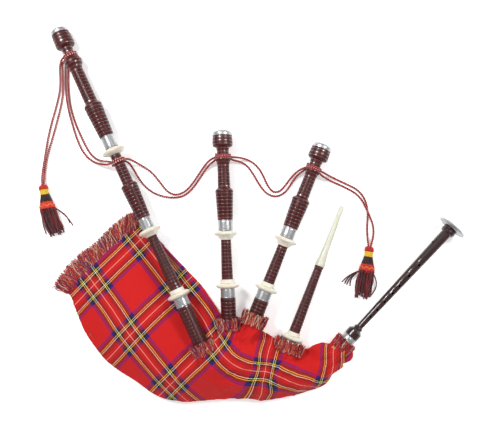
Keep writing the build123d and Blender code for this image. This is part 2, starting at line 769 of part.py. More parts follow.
def chanter_body():
    """The chanter: tenon, bulb, tapered body with its holes, and foot."""
    outer = [
        (-CHANTER_TENON, TENON_CORE),
        (0, TENON_CORE),
        (0, 15.8),
        (2, 16.8),
        (CHANTER_BULB - 5, 16.8),
        (CHANTER_BULB, 11.5),
        (CHANTER_BULB + 2, 9.6),
        (CHANTER_BULB + 5, 10.4),
        (CHANTER_BULB + 8, 9.6),
        (CHANTER_BODY_START, 7.6),
        (CHANTER_BODY_END, 11.8),
        (CHANTER_BODY_END + 2, 15),
        (CHANTER_BODY_END + 7, 16.6),
        (CHANTER_FOOT_BEAD_END, 15.6),
        (CHANTER_FOOT_BEAD_END, SOLE_CORE),
        (CHANTER_FOOT_BEAD_END + SOLE_THICKNESS - 1, SOLE_CORE),
    ]
    inner = [
        (-CHANTER_TENON, REED_SEAT_RADIUS),
        (-CHANTER_TENON + REED_SEAT_DEPTH, REED_SEAT_RADIUS),
        (-CHANTER_TENON + REED_SEAT_DEPTH, 2.2),
        (0, 2.2),
        (CHANTER_FOOT_BEAD_END - 14, 9.8),
        (CHANTER_FOOT_BEAD_END + SOLE_THICKNESS - 1, 9.8),
    ]
    body = turned(CHANTER, outer, inner, CHANTER_STOCK_MOUTH)
    axis = (CHANTER_TIP - CHANTER_FOOT).normalized()
    side = axis.cross(Vector(0, 0, 1))
    tilt = math.radians(CHANTER_HOLE_TILT)
    front = Vector(0, 0, 1) * math.cos(tilt) + side * math.sin(tilt)
    across = axis.cross(front)
    for distance, radius in FINGER_HOLES:
        body -= cross_hole(distance, radius, front)
    body -= cross_hole(*THUMB_HOLE, front * -1)
    body -= cross_hole(VENT_HOLES_AT, VENT_HOLE_RADIUS, across)
    body -= cross_hole(VENT_HOLES_AT, VENT_HOLE_RADIUS, across * -1)
    return body


def chanter_sole():
    """The dished metal disc at the chanter's foot."""
    start = CHANTER_FOOT_BEAD_END + 0.2
    end = start + SOLE_THICKNESS
    outer = [
        (start, 18),
        (start + 1.4, 19.5),
        (start + 1.8, 27),
        (start + 1.2, 31.5),
        (start + 1.6, SOLE_RADIUS - 0.6),
        (start + 3.2, SOLE_RADIUS),
        (end - 1, SOLE_RADIUS - 0.8),
        (end, SOLE_RADIUS - 4),
    ]
    return turned(CHANTER, outer, [(start, SOLE_CORE), (end, SOLE_CORE)], CHANTER_STOCK_MOUTH)


def chanter_reed_staple():
    """The wound staple of the double reed, seated in the chanter's top."""
    seat = -CHANTER_TENON
    outer = [
        (seat - 9, 2.9),
        (seat - 2, 4.2),
        (seat - 0.3, 4.2),
        (seat - 0.3, REED_SEAT_RADIUS),
        (seat + REED_SEAT_DEPTH - 1, REED_SEAT_RADIUS),
    ]
    return turned(CHANTER, outer, [(seat - 9, 1.6), (seat + REED_SEAT_DEPTH - 1, 1.6)], CHANTER_STOCK_MOUTH)


def chanter_reed_blades():
    """Two cane blades, face to face, standing back from the staple."""
    seat = CHANTER_STOCK_MOUTH - CHANTER_TENON - 9
    blades = []
    for side in (-1, 1):
        near = Pos(0, side * 1.3, seat - 0.2) * Rectangle(5, 1.5)
        far = Pos(0, side * 0.55, seat - 25) * Rectangle(11, 0.6)
        blades.append(CHANTER.location * loft([near, far]))
    return blades


write("chanter_body", chanter_body())
write("chanter_sole", chanter_sole())
write(
    "chanter_hemp",
    sleeve(
        CHANTER, -CHANTER_TENON + 3, -2, TENON_CORE, STOCK_BORE - RUNNING_CLEARANCE, CHANTER_STOCK_MOUTH
    ),
)
write("chanter_reed_staple", chanter_reed_staple())
write("chanter_reed_blades", *chanter_reed_blades())

# ---------------------------------------------------------------- drone cord and its tassels

# One doubled cord runs from tassel to tassel by way of a wrap round each drone. Each stretch lists
# its two strands, and each strand the points of its route.
FLOOR = CORD_RADIUS + 0.2
TASSEL_1_STRANDS = [
    [
        (-446, 357, 25),
        (-453.5, 340, 15),
        (-455, 319, 5),
        (-456, 289, FLOOR),
        (-465, 250, FLOOR),
        (-476.5, 211, FLOOR),
        (-485, 173, FLOOR),
        (-490, 142.5, FLOOR),
        (-494.5, 112, 3),
        (-497, 89, 6),
        (-496, 73, 10),
    ],
    [
        (-445.5, 351, 19),
        (-449.2, 335, 9),
        (-449.5, 314, 3),
        (-449, 288, FLOOR),
        (-452.5, 258, FLOOR),
        (-463, 216, FLOOR),
        (-474, 176, FLOOR),
        (-483, 146, FLOOR),
        (-488.5, 119, 3),
        (-491, 93, 6),
        (-490, 73, 10),
    ],
]
BASS_STRANDS = [
    [
        (-442, 346, 12),
        (-443, 332, 4),
        (-443.5, 311, FLOOR),
        (-442.5, 281, FLOOR),
        (-438, 248, FLOOR),
        (-430, 217, FLOOR),
        (-421, 186.5, FLOOR),
        (-409, 154.5, FLOOR),
        (-394, 133, FLOOR),
        (-376.5, 120.5, 5),
        (-355, 114.5, 15),
        (-336, 114, 30),
    ],
    [
        (-436.5, 338, 5),
        (-437.6, 324, FLOOR),
        (-437.5, 304, FLOOR),
        (-436, 276, FLOOR),
        (-431.5, 247, FLOOR),
        (-423, 217, FLOOR),
        (-411, 188, FLOOR),
        (-399, 163, FLOOR),
        (-388, 143, FLOOR),
        (-374.5, 129.5, 6),
        (-355.5, 122, 18),
        (-334.5, 120, 36),
    ],
]
BASS_TENOR_STRANDS = [
    [
        (-294.5, 128, 32),
        (-281, 121.5, 18),
        (-262.5, 111, 6),
        (-243, 97.5, FLOOR),
        (-225, 75.5, FLOOR),
        (-209.5, 54.5, FLOOR),
        (-191.5, 44.5, FLOOR),
        (-171, 49, FLOOR),
        (-154, 64, FLOOR),
        (-138.5, 86, FLOOR),
        (-124, 108, 4),
        (-111, 123, 11),
        (-98, 130.5, 21),
    ],
    [
        (-293.5, 120.5, 26),
        (-284.5, 105, 13),
        (-273, 82, 4),
        (-258, 63.5, FLOOR),
        (-240.5, 50, FLOOR),
        (-217, 41, FLOOR),
        (-191.5, 38, FLOOR),
        (-168, 42, FLOOR),
        (-148.5, 59, FLOOR),
        (-132.5, 82, FLOOR),
        (-118.5, 103, 4),
        (-107.5, 116.5, 9),
        (-97, 123, 17),
    ],
]
TENORS_STRANDS = [
    [
        (-55, 131.5, 22),
        (-36, 131, 12),
        (-15, 125, 4),
        (3, 111, FLOOR),
        (15.5, 90.5, FLOOR),
        (25.5, 67, FLOOR),
        (38.5, 51, FLOOR),
        (55, 53, FLOOR),
        (68.5, 68.5, FLOOR),
        (81, 86, 4),
        (94.5, 99.5, 9),
        (109.5, 107.5, 19),
    ],
    [
        (-55.5, 124.5, 17),
        (-37, 122.5, 8),
        (-20, 112, 3),
        (-6, 91.5, FLOOR),
        (8, 66.5, FLOOR),
        (24.5, 47, FLOOR),
        (45.5, 40, FLOOR),
        (65.5, 49, FLOOR),
        (78.5, 67, FLOOR),
        (88.5, 82.5, 3),
        (98, 93.5, 7),
        (108, 100.5, 14),
    ],
]
TASSEL_2_STRANDS = [
    [
        (151, 97.5, 20),
        (168.5, 89, 10),
        (189.5, 79.5, 3),
        (211, 69.5, FLOOR),
        (233, 59, FLOOR),
        (249, 42, FLOOR),
        (257.5, 19.5, FLOOR),
        (259, -6, FLOOR),
        (257, -30.5, 3),
        (257.5, -52, 6),
        (258.5, -68, 10),
    ],
    [
        (149, 90, 16),
        (166, 80.5, 7),
        (187.5, 71, FLOOR),
        (208.5, 61.5, FLOOR),
        (229, 50.5, FLOOR),
        (244, 35.5, FLOOR),
        (254, 15.5, 6),
        (264.5, -6, FLOOR),
        (272.5, -29.5, 3),
        (271.5, -52, 6),
        (266, -68.5, 10),
    ],
]


def cord_tube(route):
    """A round tube of straight runs joined by arcs as large as the runs allow."""
    points = [Vector(*point) for point in route]
    radii = []
    for before, corner, after in zip(points, points[1:], points[2:]):
        turn = math.radians((corner - before).get_angle(after - corner))
        shorter = min((corner - before).length, (after - corner).length)
        radii.append(0.45 * shorter / math.tan(turn / 2))
    path = FilletPolyline(*points, radius=radii)
    start = Plane(origin=path @ 0, z_dir=path % 0)
    tube = sweep(start * Circle(CORD_RADIUS), path=path)
    expected = math.pi * CORD_RADIUS**2 * path.length
    print("cord", round(path.length), "mm, least radius", round(min(radii)), "mm, volume ratio", end=" ")
    print(round(tube.volume / expected, 3))
    return tube


def cord_stretch(strands):
    """The two strands of one stretch."""
    return [cord_tube(strand) for strand in strands]


# Sections of a tassel from its head to the ends of its threads: distance, half width, half height.
TASSEL_SECTIONS = [
    (0, 5.4, 5),
    (3, 9.6, 9),
    (9, 10.8, 10),
    (13, 9.4, 9),
    (24, 9.6, 9),
    (40, 14.5, 11),
    (56, 18.5, 11),
    (92, 17, 9),
    (122, 13, 5),
]


def tassel(head, end):
    """A tassel lying on the surface, flattened by its own weight."""
    top, foot = Vector(*head, 0), Vector(*end, 0)
    direction = (foot - top).normalized()
    across = direction.cross(Vector(0, 0, 1))
    faces = []
    for distance, half_width, half_height in TASSEL_SECTIONS:
        centre = top + direction * distance + Vector(0, 0, half_height + 0.3)
        plane = Plane(origin=centre, x_dir=across, z_dir=direction)
        faces.append(plane * Ellipse(half_width, half_height))
    return loft(faces, ruled=True)


write(
    "cord_tassel_1_span",
    *cord_stretch(TASSEL_1_STRANDS),
    *cord_wrap(BASS, BASS_STOCK_MOUTH + BASS_BEAD_END + 3, 12),
)
write(
    "cord_bass_span",
    *cord_stretch(BASS_STRANDS),
    *cord_wrap(BASS, BASS_STOCK_MOUTH + BASS_MIDDLE_END - 16, 12.4),
)
write("cord_bass_tenor_span", *cord_stretch(BASS_TENOR_STRANDS))
write("cord_tenors_span", *cord_stretch(TENORS_STRANDS))
write("cord_tenor_1_wrap", *cord_wrap(TENOR_1, TENOR_1_STOCK_MOUTH + TENOR_BEAD_END + 3.5, 13.6))
write(
    "cord_tassel_2_span",
    *cord_stretch(TASSEL_2_STRANDS),
    *cord_wrap(TENOR_2, TENOR_2_STOCK_MOUTH + TENOR_BEAD_END + 3.5, 13.6),
)
write("tassel_1", tassel((-493, 71), (-466, -50)))
write("tassel_2", tassel((262, -71), (246, -190)))
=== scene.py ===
"""Highland bagpipes lying on a pale surface: turned wood, cloth-covered bag and tasselled drone cord."""
import math
import random

import bmesh
import bpy
import numpy as np
from mathutils import Matrix, Vector, noise
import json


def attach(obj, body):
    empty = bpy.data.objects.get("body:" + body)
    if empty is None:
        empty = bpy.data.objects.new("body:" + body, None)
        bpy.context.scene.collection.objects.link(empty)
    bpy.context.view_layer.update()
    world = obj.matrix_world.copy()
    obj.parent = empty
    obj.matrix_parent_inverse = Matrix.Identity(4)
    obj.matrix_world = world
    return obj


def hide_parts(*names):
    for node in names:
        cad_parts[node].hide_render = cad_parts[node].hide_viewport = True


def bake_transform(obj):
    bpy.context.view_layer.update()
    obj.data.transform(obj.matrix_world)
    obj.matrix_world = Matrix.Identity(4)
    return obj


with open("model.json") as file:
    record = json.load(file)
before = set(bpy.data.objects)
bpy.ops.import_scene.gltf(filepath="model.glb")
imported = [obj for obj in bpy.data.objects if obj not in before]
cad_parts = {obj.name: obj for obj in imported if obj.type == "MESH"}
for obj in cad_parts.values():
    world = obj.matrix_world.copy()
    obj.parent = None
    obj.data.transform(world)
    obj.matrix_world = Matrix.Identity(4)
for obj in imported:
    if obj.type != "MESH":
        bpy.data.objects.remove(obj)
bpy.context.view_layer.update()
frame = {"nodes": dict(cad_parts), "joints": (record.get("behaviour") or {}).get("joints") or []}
NODES = frame["nodes"]
JOINTS = {joint["name"]: joint for joint in frame["joints"]}
MM = 0.001
FULL_TURN = 6.2832  # radians, for the shaders and the windings

# ------------------------------------------------------------------ places


def pipe_frame(joint_name):
    """Matrix with its origin at the mouth of a pipe's stock and its Z along the pipe."""
    joint = JOINTS[joint_name]
    along = Vector(joint["axis"]).normalized()
    across = Vector((0, 0, 1)).cross(along).normalized()
    up = along.cross(across)
    turn = Matrix((across, up, along)).transposed().to_4x4()
    return Matrix.Translation(Vector(joint["pos_m"])) @ turn


BASS = pipe_frame("bass_bottom_turn")
TENORS = {"tenor_1": pipe_frame("tenor_1_bottom_turn"), "tenor_2": pipe_frame("tenor_2_bottom_turn")}
BLOWPIPE = pipe_frame("blowpipe_turn")
CHANTER = pipe_frame("chanter_turn")

# ------------------------------------------------------------------ shader maths


class Tree:
    """A material's node tree, with one method for any node."""

    def __init__(self, name):
        self.material = bpy.data.materials.new(name)
        self.material.use_nodes = True
        self.nodes = self.material.node_tree.nodes
        self.links = self.material.node_tree.links
        self.shader = self.nodes["Principled BSDF"]

    def node(self, kind, settings=None, **values):
        made = self.nodes.new(kind)
        for key, value in (settings or {}).items():
            setattr(made, key, value)
        for key, value in values.items():
            place = int(key[1:]) if key[0] == "_" else key.replace("__", " ")
            self.put(made.inputs[place], value)
        return made

    def put(self, socket, value):
        if isinstance(value, Wire):
            self.links.new(value.socket, socket)
        elif isinstance(value, bpy.types.NodeSocket):
            self.links.new(value, socket)
        else:
            socket.default_value = value

    def wire(self, node, output=0):
        return Wire(self, node.outputs[output])

    def set(self, **values):
        for key, value in values.items():
            self.put(self.shader.inputs[key.replace("__", " ")], value)

    def attribute(self, name):
        return self.wire(self.node("ShaderNodeAttribute", {"attribute_name": name}), "Vector")

    def parts(self, vector):
        split = self.node("ShaderNodeSeparateXYZ", _0=vector)
        return [self.wire(split, place) for place in range(3)]

    def join(self, x, y, z):
        return self.wire(self.node("ShaderNodeCombineXYZ", _0=x, _1=y, _2=z))

    def speckle(self, vector, scale, detail=2.0, rough=0.5):
        made = self.node("ShaderNodeTexNoise", Vector=vector, Scale=scale, Detail=detail, Roughness=rough)
        return self.wire(made)

    def mix(self, factor, low, high):
        made = self.node("ShaderNodeMix", {"data_type": "RGBA"})
        self.put(made.inputs[0], factor)
        self.put(made.inputs[6], low)
        self.put(made.inputs[7], high)
        return self.wire(made, 2)

    def bump(self, height, strength, distance):
        made = self.node("ShaderNodeBump", Height=height, Strength=strength, Distance=distance)
        self.set(Normal=self.wire(made))

    def step(self, value, low, high):
        made = self.node("ShaderNodeMapRange", {"interpolation_type": "SMOOTHSTEP"})
        self.put(made.inputs[0], value)
        self.put(made.inputs[1], low)
        self.put(made.inputs[2], high)
        return self.wire(made)


class Wire:
    """A socket that takes part in Python arithmetic."""

    def __init__(self, tree, socket):
        self.tree, self.socket = tree, socket

    def maths(self, operation, first, second=0.0):
        made = self.tree.node("ShaderNodeMath", {"operation": operation}, _0=first, _1=second)
        return self.tree.wire(made)

    def __add__(self, other):
        return self.maths("ADD", self, other)

    def __sub__(self, other):
        return self.maths("SUBTRACT", self, other)

    def __rsub__(self, other):
        return self.maths("SUBTRACT", other, self)

    def __mul__(self, other):
        return self.maths("MULTIPLY", self, other)

    def __truediv__(self, other):
        return self.maths("DIVIDE", self, other)

    def __lt__(self, other):
        return self.maths("LESS_THAN", self, other)

    def __gt__(self, other):
        return self.maths("GREATER_THAN", self, other)

    def fraction(self):
        return self.maths("FRACT", self)

    def absolute(self):
        return self.maths("ABSOLUTE", self)

    def sine(self):
        return self.maths("SINE", self)


def srgb(red, green, blue):
    """A colour from everyday 0 to 255 values."""
    return tuple((value / 255) ** 2.2 for value in (red, green, blue)) + (1.0,)


# ------------------------------------------------------------------ materials


COMB_PITCH = 8.0


def pipe_place(tree, pipe):
    """A shading point's place across and along a pipe, for a piece with no attribute of its own."""
    x, y, z = tree.parts(tree.wire(tree.node("ShaderNodeTexCoord"), "Object"))
    return [x * side[0] + y * side[1] + z * side[2] for side in (pipe.col[place] for place in range(3))]


def wood_material(name, dark, light, streak, pipe=None):
    """Polished hardwood: fine grain along the pipe, pores, and a shine on the combing."""
    tree = Tree(name)
    x, y, z = pipe_place(tree, pipe) if pipe else tree.parts(tree.attribute("turned"))
    stretched = tree.join(x * 1.0, y * 1.0, z * 0.06)
    grain = tree.speckle(stretched, 900.0, 4.0, 0.6)
    broad = tree.speckle(stretched, 150.0, 2.0)
    pores = tree.step(tree.speckle(stretched, 2600.0, 1.0), 0.62, 0.7)
    colour = tree.mix(tree.step(grain, 0.35, 0.7), dark, light)
    colour = tree.mix(tree.step(broad, 0.5, 0.75) * 0.5, colour, streak)
    colour = tree.mix(pores * 0.55, colour, srgb(18, 8, 8))
    tree.set(Base__Color=colour, Specular__IOR__Level=0.3, Roughness=broad * 0.2 + 0.32)
    if pipe:
        tree.set(Coat__Weight=0.7, Coat__Roughness=0.16)
    else:
        ring = 1.0 - tree.step(((z / (COMB_PITCH * MM) + 0.5).fraction() - 0.5).absolute(), 0.1, 0.17)
        tree.set(Coat__Weight=ring * 0.9 + 0.05, Coat__Roughness=0.27, Coat__IOR=1.9)
    tree.bump(grain + pores * -0.6, 0.12, 0.0003)
    return tree.material


def ivory_material():
    """Polished imitation ivory with faint cloudy lines and yellowing in the hollows."""
    tree = Tree("imitation_ivory_polished")
    x, y, z = tree.parts(tree.attribute("turned"))
    cloud = tree.speckle(tree.join(x, y, z), 60.0, 3.0)
    line = tree.speckle(tree.join(x * 0.3, y * 0.3, z * 4.0), 240.0, 2.0)
    colour = tree.mix(tree.step(cloud, 0.35, 0.7), srgb(232, 228, 214), srgb(222, 214, 194))
    colour = tree.mix(tree.step(line, 0.55, 0.75) * 0.35, colour, srgb(206, 194, 168))
    tree.set(Base__Color=colour, Roughness=tree.step(cloud, 0.2, 0.8) * 0.12 + 0.26)
    tree.set(Coat__Weight=0.35, Coat__Roughness=0.15, Subsurface__Weight=0.15, Subsurface__Scale=0.004)
    tree.bump(line, 0.05, 0.0002)
    return tree.material


def silver_material():
    """Rolled silver-coloured metal with turning marks and light tarnish."""
    tree = Tree("turned_silver")
    x, y, z = tree.parts(tree.attribute("turned"))
    marks = tree.speckle(tree.join(x * 0.05, y * 0.05, z), 5200.0, 2.0)
    tarnish = tree.speckle(tree.join(x, y, z), 130.0, 3.0)
    colour = tree.mix(tree.step(tarnish, 0.5, 0.85) * 0.4, srgb(188, 190, 192), srgb(140, 139, 134))
    tree.set(Base__Color=colour, Metallic=0.95, Roughness=tree.step(tarnish, 0.3, 0.8) * 0.1 + 0.34)
    tree.bump(marks, 0.15, 0.0002)
    return tree.material


def hemp_material():
    """Waxed yellow hemp, wound close."""
    tree = Tree("waxed_hemp_thread")
    x, y, z = tree.parts(tree.attribute("turned"))
    strand = tree.speckle(tree.join(x * 0.4, y * 0.4, z * 2.0), 1800.0, 3.0)
    colour = tree.mix(tree.step(strand, 0.35, 0.7), srgb(150, 118, 66), srgb(214, 190, 132))
    tree.set(Base__Color=colour, Roughness=0.75)
    tree.bump(strand, 0.4, 0.0004)
    return tree.material


def plastic_material(name, light, shade, rough):
    """Moulded plastic with faint flow lines and scuffs."""
    tree = Tree(name)
    x, y, z = tree.parts(tree.attribute("turned"))
    flow = tree.speckle(tree.join(x, y, z * 0.15), 220.0, 3.0)
    scuff = tree.speckle(tree.join(x * 3.0, y, z), 700.0, 4.0)
    colour = tree.mix(tree.step(flow, 0.35, 0.7), light, shade)
    tree.set(Base__Color=colour, Roughness=tree.step(scuff, 0.4, 0.8) * 0.2 + rough)
    tree.set(Subsurface__Weight=0.1, Subsurface__Scale=0.003)
    tree.bump(scuff, 0.04, 0.0002)
    return tree.material


def plain_solid_material(name, light, dark, rough, metal=0.0):
    """For the small working pieces inside: a grained finish in the piece's own place."""
    tree = Tree(name)
    place = tree.wire(tree.node("ShaderNodeTexCoord"), "Object")
    grain = tree.speckle(place, 900.0, 4.0, 0.6)
    tree.set(Base__Color=tree.mix(tree.step(grain, 0.35, 0.7), light, dark), Roughness=rough, Metallic=metal)
    tree.bump(grain, 0.2, 0.0003)
    return tree.material


# The tartan's stripes, from the middle of a band outwards: (outer edge in mm, colour).
TARTAN_REPEAT = 147.0
TARTAN_STRIPES = [
    (1.0, srgb(250, 170, 150)),
    (4.6, srgb(176, 16, 20)),
    (7.8, srgb(202, 16, 18)),
    (9.6, srgb(96, 8, 14)),
    (12.4, srgb(160, 12, 18)),
    (17.4, srgb(26, 16, 16)),
    (19.0, srgb(252, 240, 206)),
    (21.6, srgb(6, 20, 12)),
    (23.2, srgb(252, 214, 50)),
    (29.0, srgb(6, 22, 14)),
    (35.5, srgb(40, 16, 110)),
]
TARTAN_GROUND = srgb(196, 9, 10)


def stripe_colours(tree, across):
    """The colour of threads that lie at a distance across the stripes, in millimetres."""
    folded = ((across / TARTAN_REPEAT + 0.5).fraction() - 0.5).absolute() * TARTAN_REPEAT
    colour = TARTAN_GROUND
    for edge, stripe in reversed(TARTAN_STRIPES):
        colour = tree.mix(1.0 - tree.step(folded, edge - 0.15, edge + 0.15), colour, stripe)
    return colour


def tartan_material():
    """Woven worsted: two sets of the same stripes crossing in a twill, with soft wool fuzz."""
    tree = Tree("tartan_worsted")
    u, v, _ = tree.parts(tree.attribute("weave"))
    warp, weft = stripe_colours(tree, v), stripe_colours(tree, u)
    twill = ((u + v) / 1.6).fraction()
    over = tree.step(twill, 0.42, 0.58)
    colour = tree.mix(over, warp, weft)
    fuzz = tree.speckle(tree.join(u, v, 0.0), 0.9, 4.0, 0.6)
    slub = tree.speckle(tree.join(u * 0.05, v * 2.0, 0.0), 0.7, 2.0)
    colour = tree.mix(tree.step(fuzz, 0.55, 0.8) * 0.16, colour, srgb(60, 10, 14))
    colour = tree.mix(tree.step(slub, 0.6, 0.8) * 0.1, colour, srgb(240, 80, 64))
    tree.set(Base__Color=colour, Roughness=0.88)
    tree.bump((twill * FULL_TURN).sine() * 0.5 + fuzz * 0.6, 0.35, 0.0004)
    return tree.material


def thread_material(name, palette, rough=0.7):
    """Cut or twisted threads: each thread's own number picks its colour, with painted shade in a spiral along
    it for the twist, and the same spiral drives a bump.
    """
    tree = Tree(name)
    pick, along, around = tree.parts(tree.attribute("thread"))
    colour = palette[0]
    share = 1.0 / len(palette)
    for place, other in enumerate(palette[1:], 1):
        colour = tree.mix(pick > place * share, colour, other)
    twist_and_shade = ((along / 1.4 + around) * FULL_TURN).sine() * 0.5 + 0.5
    # painted shade: the colour darkens towards near-black along the spiral of each thread's twist
    colour = tree.mix(twist_and_shade * 0.35, colour, srgb(40, 6, 10))
    tree.set(Base__Color=colour, Roughness=rough, Sheen__Weight=0.15)
    tree.bump(twist_and_shade, 0.3, 0.0003)
    return tree.material


def braid_material():
    """Braided cord: crossing spirals of dark red yarn with cream and near-black flecks."""
    tree = Tree("braided_drone_cord")
    x, y, along = tree.parts(tree.attribute("braid"))
    around = x.maths("ARCTAN2", y, x) / FULL_TURN
    left = (along / 5.0 + around).fraction()
    right = (along / 5.0 - around).fraction()
    cream = (left < 0.42) * (right < 0.42)
    dark = (left > 0.55) * (right > 0.55)
    yarn = tree.speckle(tree.join(x, y, along), 2.4, 3.0)
    colour = tree.mix(tree.step(yarn, 0.3, 0.7), srgb(158, 16, 28), srgb(112, 10, 20))
    colour = tree.mix(cream, colour, srgb(252, 214, 204))
    colour = tree.mix(dark, colour, srgb(26, 4, 10))
    ridge = (left * FULL_TURN).sine() * (right * FULL_TURN).sine()
    tree.set(Base__Color=colour, Roughness=0.66)
    tree.bump(ridge, 0.5, 0.0005)
    return tree.material


WOOD = wood_material("turned_hardwood", srgb(56, 10, 12), srgb(92, 22, 22), srgb(36, 6, 8))
DARK_WOOD = wood_material("chanter_blackwood", srgb(28, 8, 9), srgb(62, 18, 20), srgb(14, 5, 5), CHANTER)
IVORY = ivory_material()
SILVER = silver_material()
HEMP = hemp_material()
MOUTH_PLASTIC = plastic_material("mouthpiece_plastic", srgb(214, 214, 198), srgb(196, 196, 176), 0.3)
TARTAN = tartan_material()
BRAID = braid_material()
FRINGE_COLOURS = [
    srgb(196, 34, 32),
    srgb(150, 26, 28),
    srgb(206, 70, 44),
    srgb(214, 120, 96),
    srgb(176, 30, 40),
    srgb(226, 190, 160),
    srgb(120, 24, 30),
    srgb(70, 36, 90),
]
FRINGE = thread_material("wool_fringe", FRINGE_COLOURS, 0.85)
MAROONS = [srgb(92, 14, 26), srgb(66, 10, 20), srgb(124, 22, 34)]
MAROON_THREAD = thread_material("tassel_maroon_thread", MAROONS)
DARK_THREAD = thread_material("tassel_dark_thread", [srgb(58, 22, 28), srgb(44, 16, 22)])
RED_THREAD = thread_material("tassel_red_thread", [srgb(206, 34, 26), srgb(178, 26, 22)])
YELLOW_THREAD = thread_material("tassel_yellow_thread", [srgb(238, 196, 40), srgb(222, 174, 30)])
ORANGE_THREAD = thread_material("tassel_orange_thread", [srgb(226, 60, 34), srgb(204, 44, 30)])
PALE_THREAD = thread_material("tassel_pale_thread", [srgb(250, 150, 90), srgb(250, 176, 120)])
LEATHER = plain_solid_material("bag_leather", srgb(150, 104, 66), srgb(112, 74, 44), 0.6)
CANE = plain_solid_material("reed_cane", srgb(214, 186, 118), srgb(178, 146, 82), 0.5)
RUBBER = plain_solid_material("bridle_rubber", srgb(34, 34, 34), srgb(22, 22, 22), 0.7)
COPPER = plain_solid_material("staple_copper", srgb(200, 128, 84), srgb(168, 98, 60), 0.35, 1.0)

# ------------------------------------------------------------------ mesh helpers

LATHE_SIDES = 72


def new_piece(name, vertices, faces, material, vectors=None, sharp=35):
    """A mesh object from vertices and faces in the row frame, with vector attributes on its points."""
    mesh = bpy.data.meshes.new(name)
    mesh.from_pydata(vertices, [], faces)
    for attribute, values in (vectors or {}).items():
        made = mesh.attributes.new(attribute, "FLOAT_VECTOR", "POINT")
        made.data.foreach_set("vector", np.asarray(values, np.float32).ravel())
    mesh.polygons.foreach_set("use_smooth", [True] * len(mesh.polygons))
    mesh.set_sharp_from_angle(angle=math.radians(sharp))
    mesh.materials.append(material)
    mesh.validate()
    piece = bpy.data.objects.new(name, mesh)
    bpy.context.scene.collection.objects.link(piece)
    return piece


def grooved(outline, ranges, pitch, depth, half):
    """The outline with turned grooves, pitch apart and twice half wide, cut into each range along it."""
    result = [outline[0]]
    for (start, low), (end, high) in zip(outline, outline[1:]):
        for first, last in ranges:
            place = math.ceil(max(first, start + half) / pitch) * pitch
            while place < min(last, end - half):
                radius = low + (high - low) * (place - start) / (end - start)
                shape = ((-half, 0), (-0.4 * half, -depth), (0.4 * half, -depth), (half, 0))
                result += [(place + part, radius + drop) for part, drop in shape]
                place += pitch
        result.append((end, high))
    return result


def bead(place, radius, width, height, steps=5):
    """A half-round bead standing on a surface of the given radius."""
    points = []
    for step in range(steps + 1):
        angle = math.pi * step / steps
        points.append((place + width / 2 * (1 - math.cos(angle)), radius + height * math.sin(angle)))
    return points


def turned(name, pipe, outer, inner, material, body, node):
    """A lathe-turned ring or tube. outer and inner list (distance, radius) in millimetres."""
    outline = outer + inner[::-1]
    count = len(outline)
    local = np.zeros((count, LATHE_SIDES, 3))
    angles = np.linspace(0, 2 * math.pi, LATHE_SIDES, endpoint=False)
    for row, (place, radius) in enumerate(outline):
        local[row, :, 0] = radius * MM * np.cos(angles)
        local[row, :, 1] = radius * MM * np.sin(angles)
        local[row, :, 2] = place * MM
    local = local.reshape(-1, 3)
    matrix = np.array(pipe)
    vertices = local @ matrix[:3, :3].T + matrix[:3, 3]
    faces = []
    for row in range(count):
        low, high = row * LATHE_SIDES, (row + 1) % count * LATHE_SIDES
        for turn in range(LATHE_SIDES):
            beside = (turn + 1) % LATHE_SIDES
            faces.append((low + turn, low + beside, high + beside, high + turn))
    piece = new_piece(name, vertices.tolist(), faces, material, {"turned": local})
    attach(piece, body)
    if node:
        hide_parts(node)
    return piece


# ------------------------------------------------------------------ turned pipes

DISC = [(0, 19.6), (1.6, 23), (3.4, 25.7), (4.2, 26.3), (4.6, 25.7), (5.0, 26.5), (6.2, 26.5), (6.6, 25.7)]
DISC += [(7.0, 26.2), (7.8, 25.7), (9.6, 23), (11.2, 19.6)]
TENON_LENGTH, TENON_CORE, TENON_HEMP = 44, 9.2, 10.2
PIN_LENGTH, PIN_CORE, PIN_HEMP = 62, 8.2, 9.25
CHAMBER = 9.5  # radius of the hole that a tuning pin slides in


def mount(name, pipe, start, front, back, front_radius, back_radius, bore, body, node):
    """An ivory mount: a rounded disc with a short stub before and after it."""
    outer = [(start, front_radius)] * (front > 0)
    outer += [(start + front + place, radius) for place, radius in DISC]
    if back:
        end = start + front + DISC[-1][0]
        outer += bead(end + 0.1, back_radius, back / 3, 0.9) + [(end + back, back_radius)]
    turned(name, pipe, outer, [(start, bore), (outer[-1][0], bore)], IVORY, body, node)


def ferrule(name, pipe, start, end, radius, bore, body, node):
    """A silver ferrule: beaded at both ends, with turned grooves between."""
    plain = [(start + 3.4, radius), (end - 3.4, radius)]
    middle = grooved(plain, [(start + 4, end - 4)], 2.2, 0.3, 0.55)
    outer = bead(start, radius - 0.2, 1.5, 0.7) + bead(start + 1.8, radius - 0.2, 1.2, 0.5) + middle
    outer += bead(end - 3.0, radius - 0.2, 1.2, 0.5) + bead(end - 1.5, radius - 0.2, 1.5, 0.7)
    turned(name, pipe, outer, [(start, bore), (end, bore)], SILVER, body, node)


def combed(outline, start, end):
    """The outline with a small turned ring between two grooves at every step of the combing."""
    ringed = [outline[0]]
    for (first, low), (last, high) in zip(outline, outline[1:]):
        place = math.ceil(max(first, start) / COMB_PITCH + 0.3) * COMB_PITCH
        while place < min(last, end) - 2:
            radius = low + (high - low) * (place - first) / (last - first)
            shape = ((-2.4, 0), (-1.9, -0.7), (-1.3, -0.7), (-1.1, 0), (-0.7, 0.45), (0, 0.65))
            ringed += [(place + part, radius + rise) for part, rise in shape]
            ringed += [(place - part, radius + rise) for part, rise in shape[-2::-1]]
            place += COMB_PITCH
        ringed.append((last, high))
    return ringed


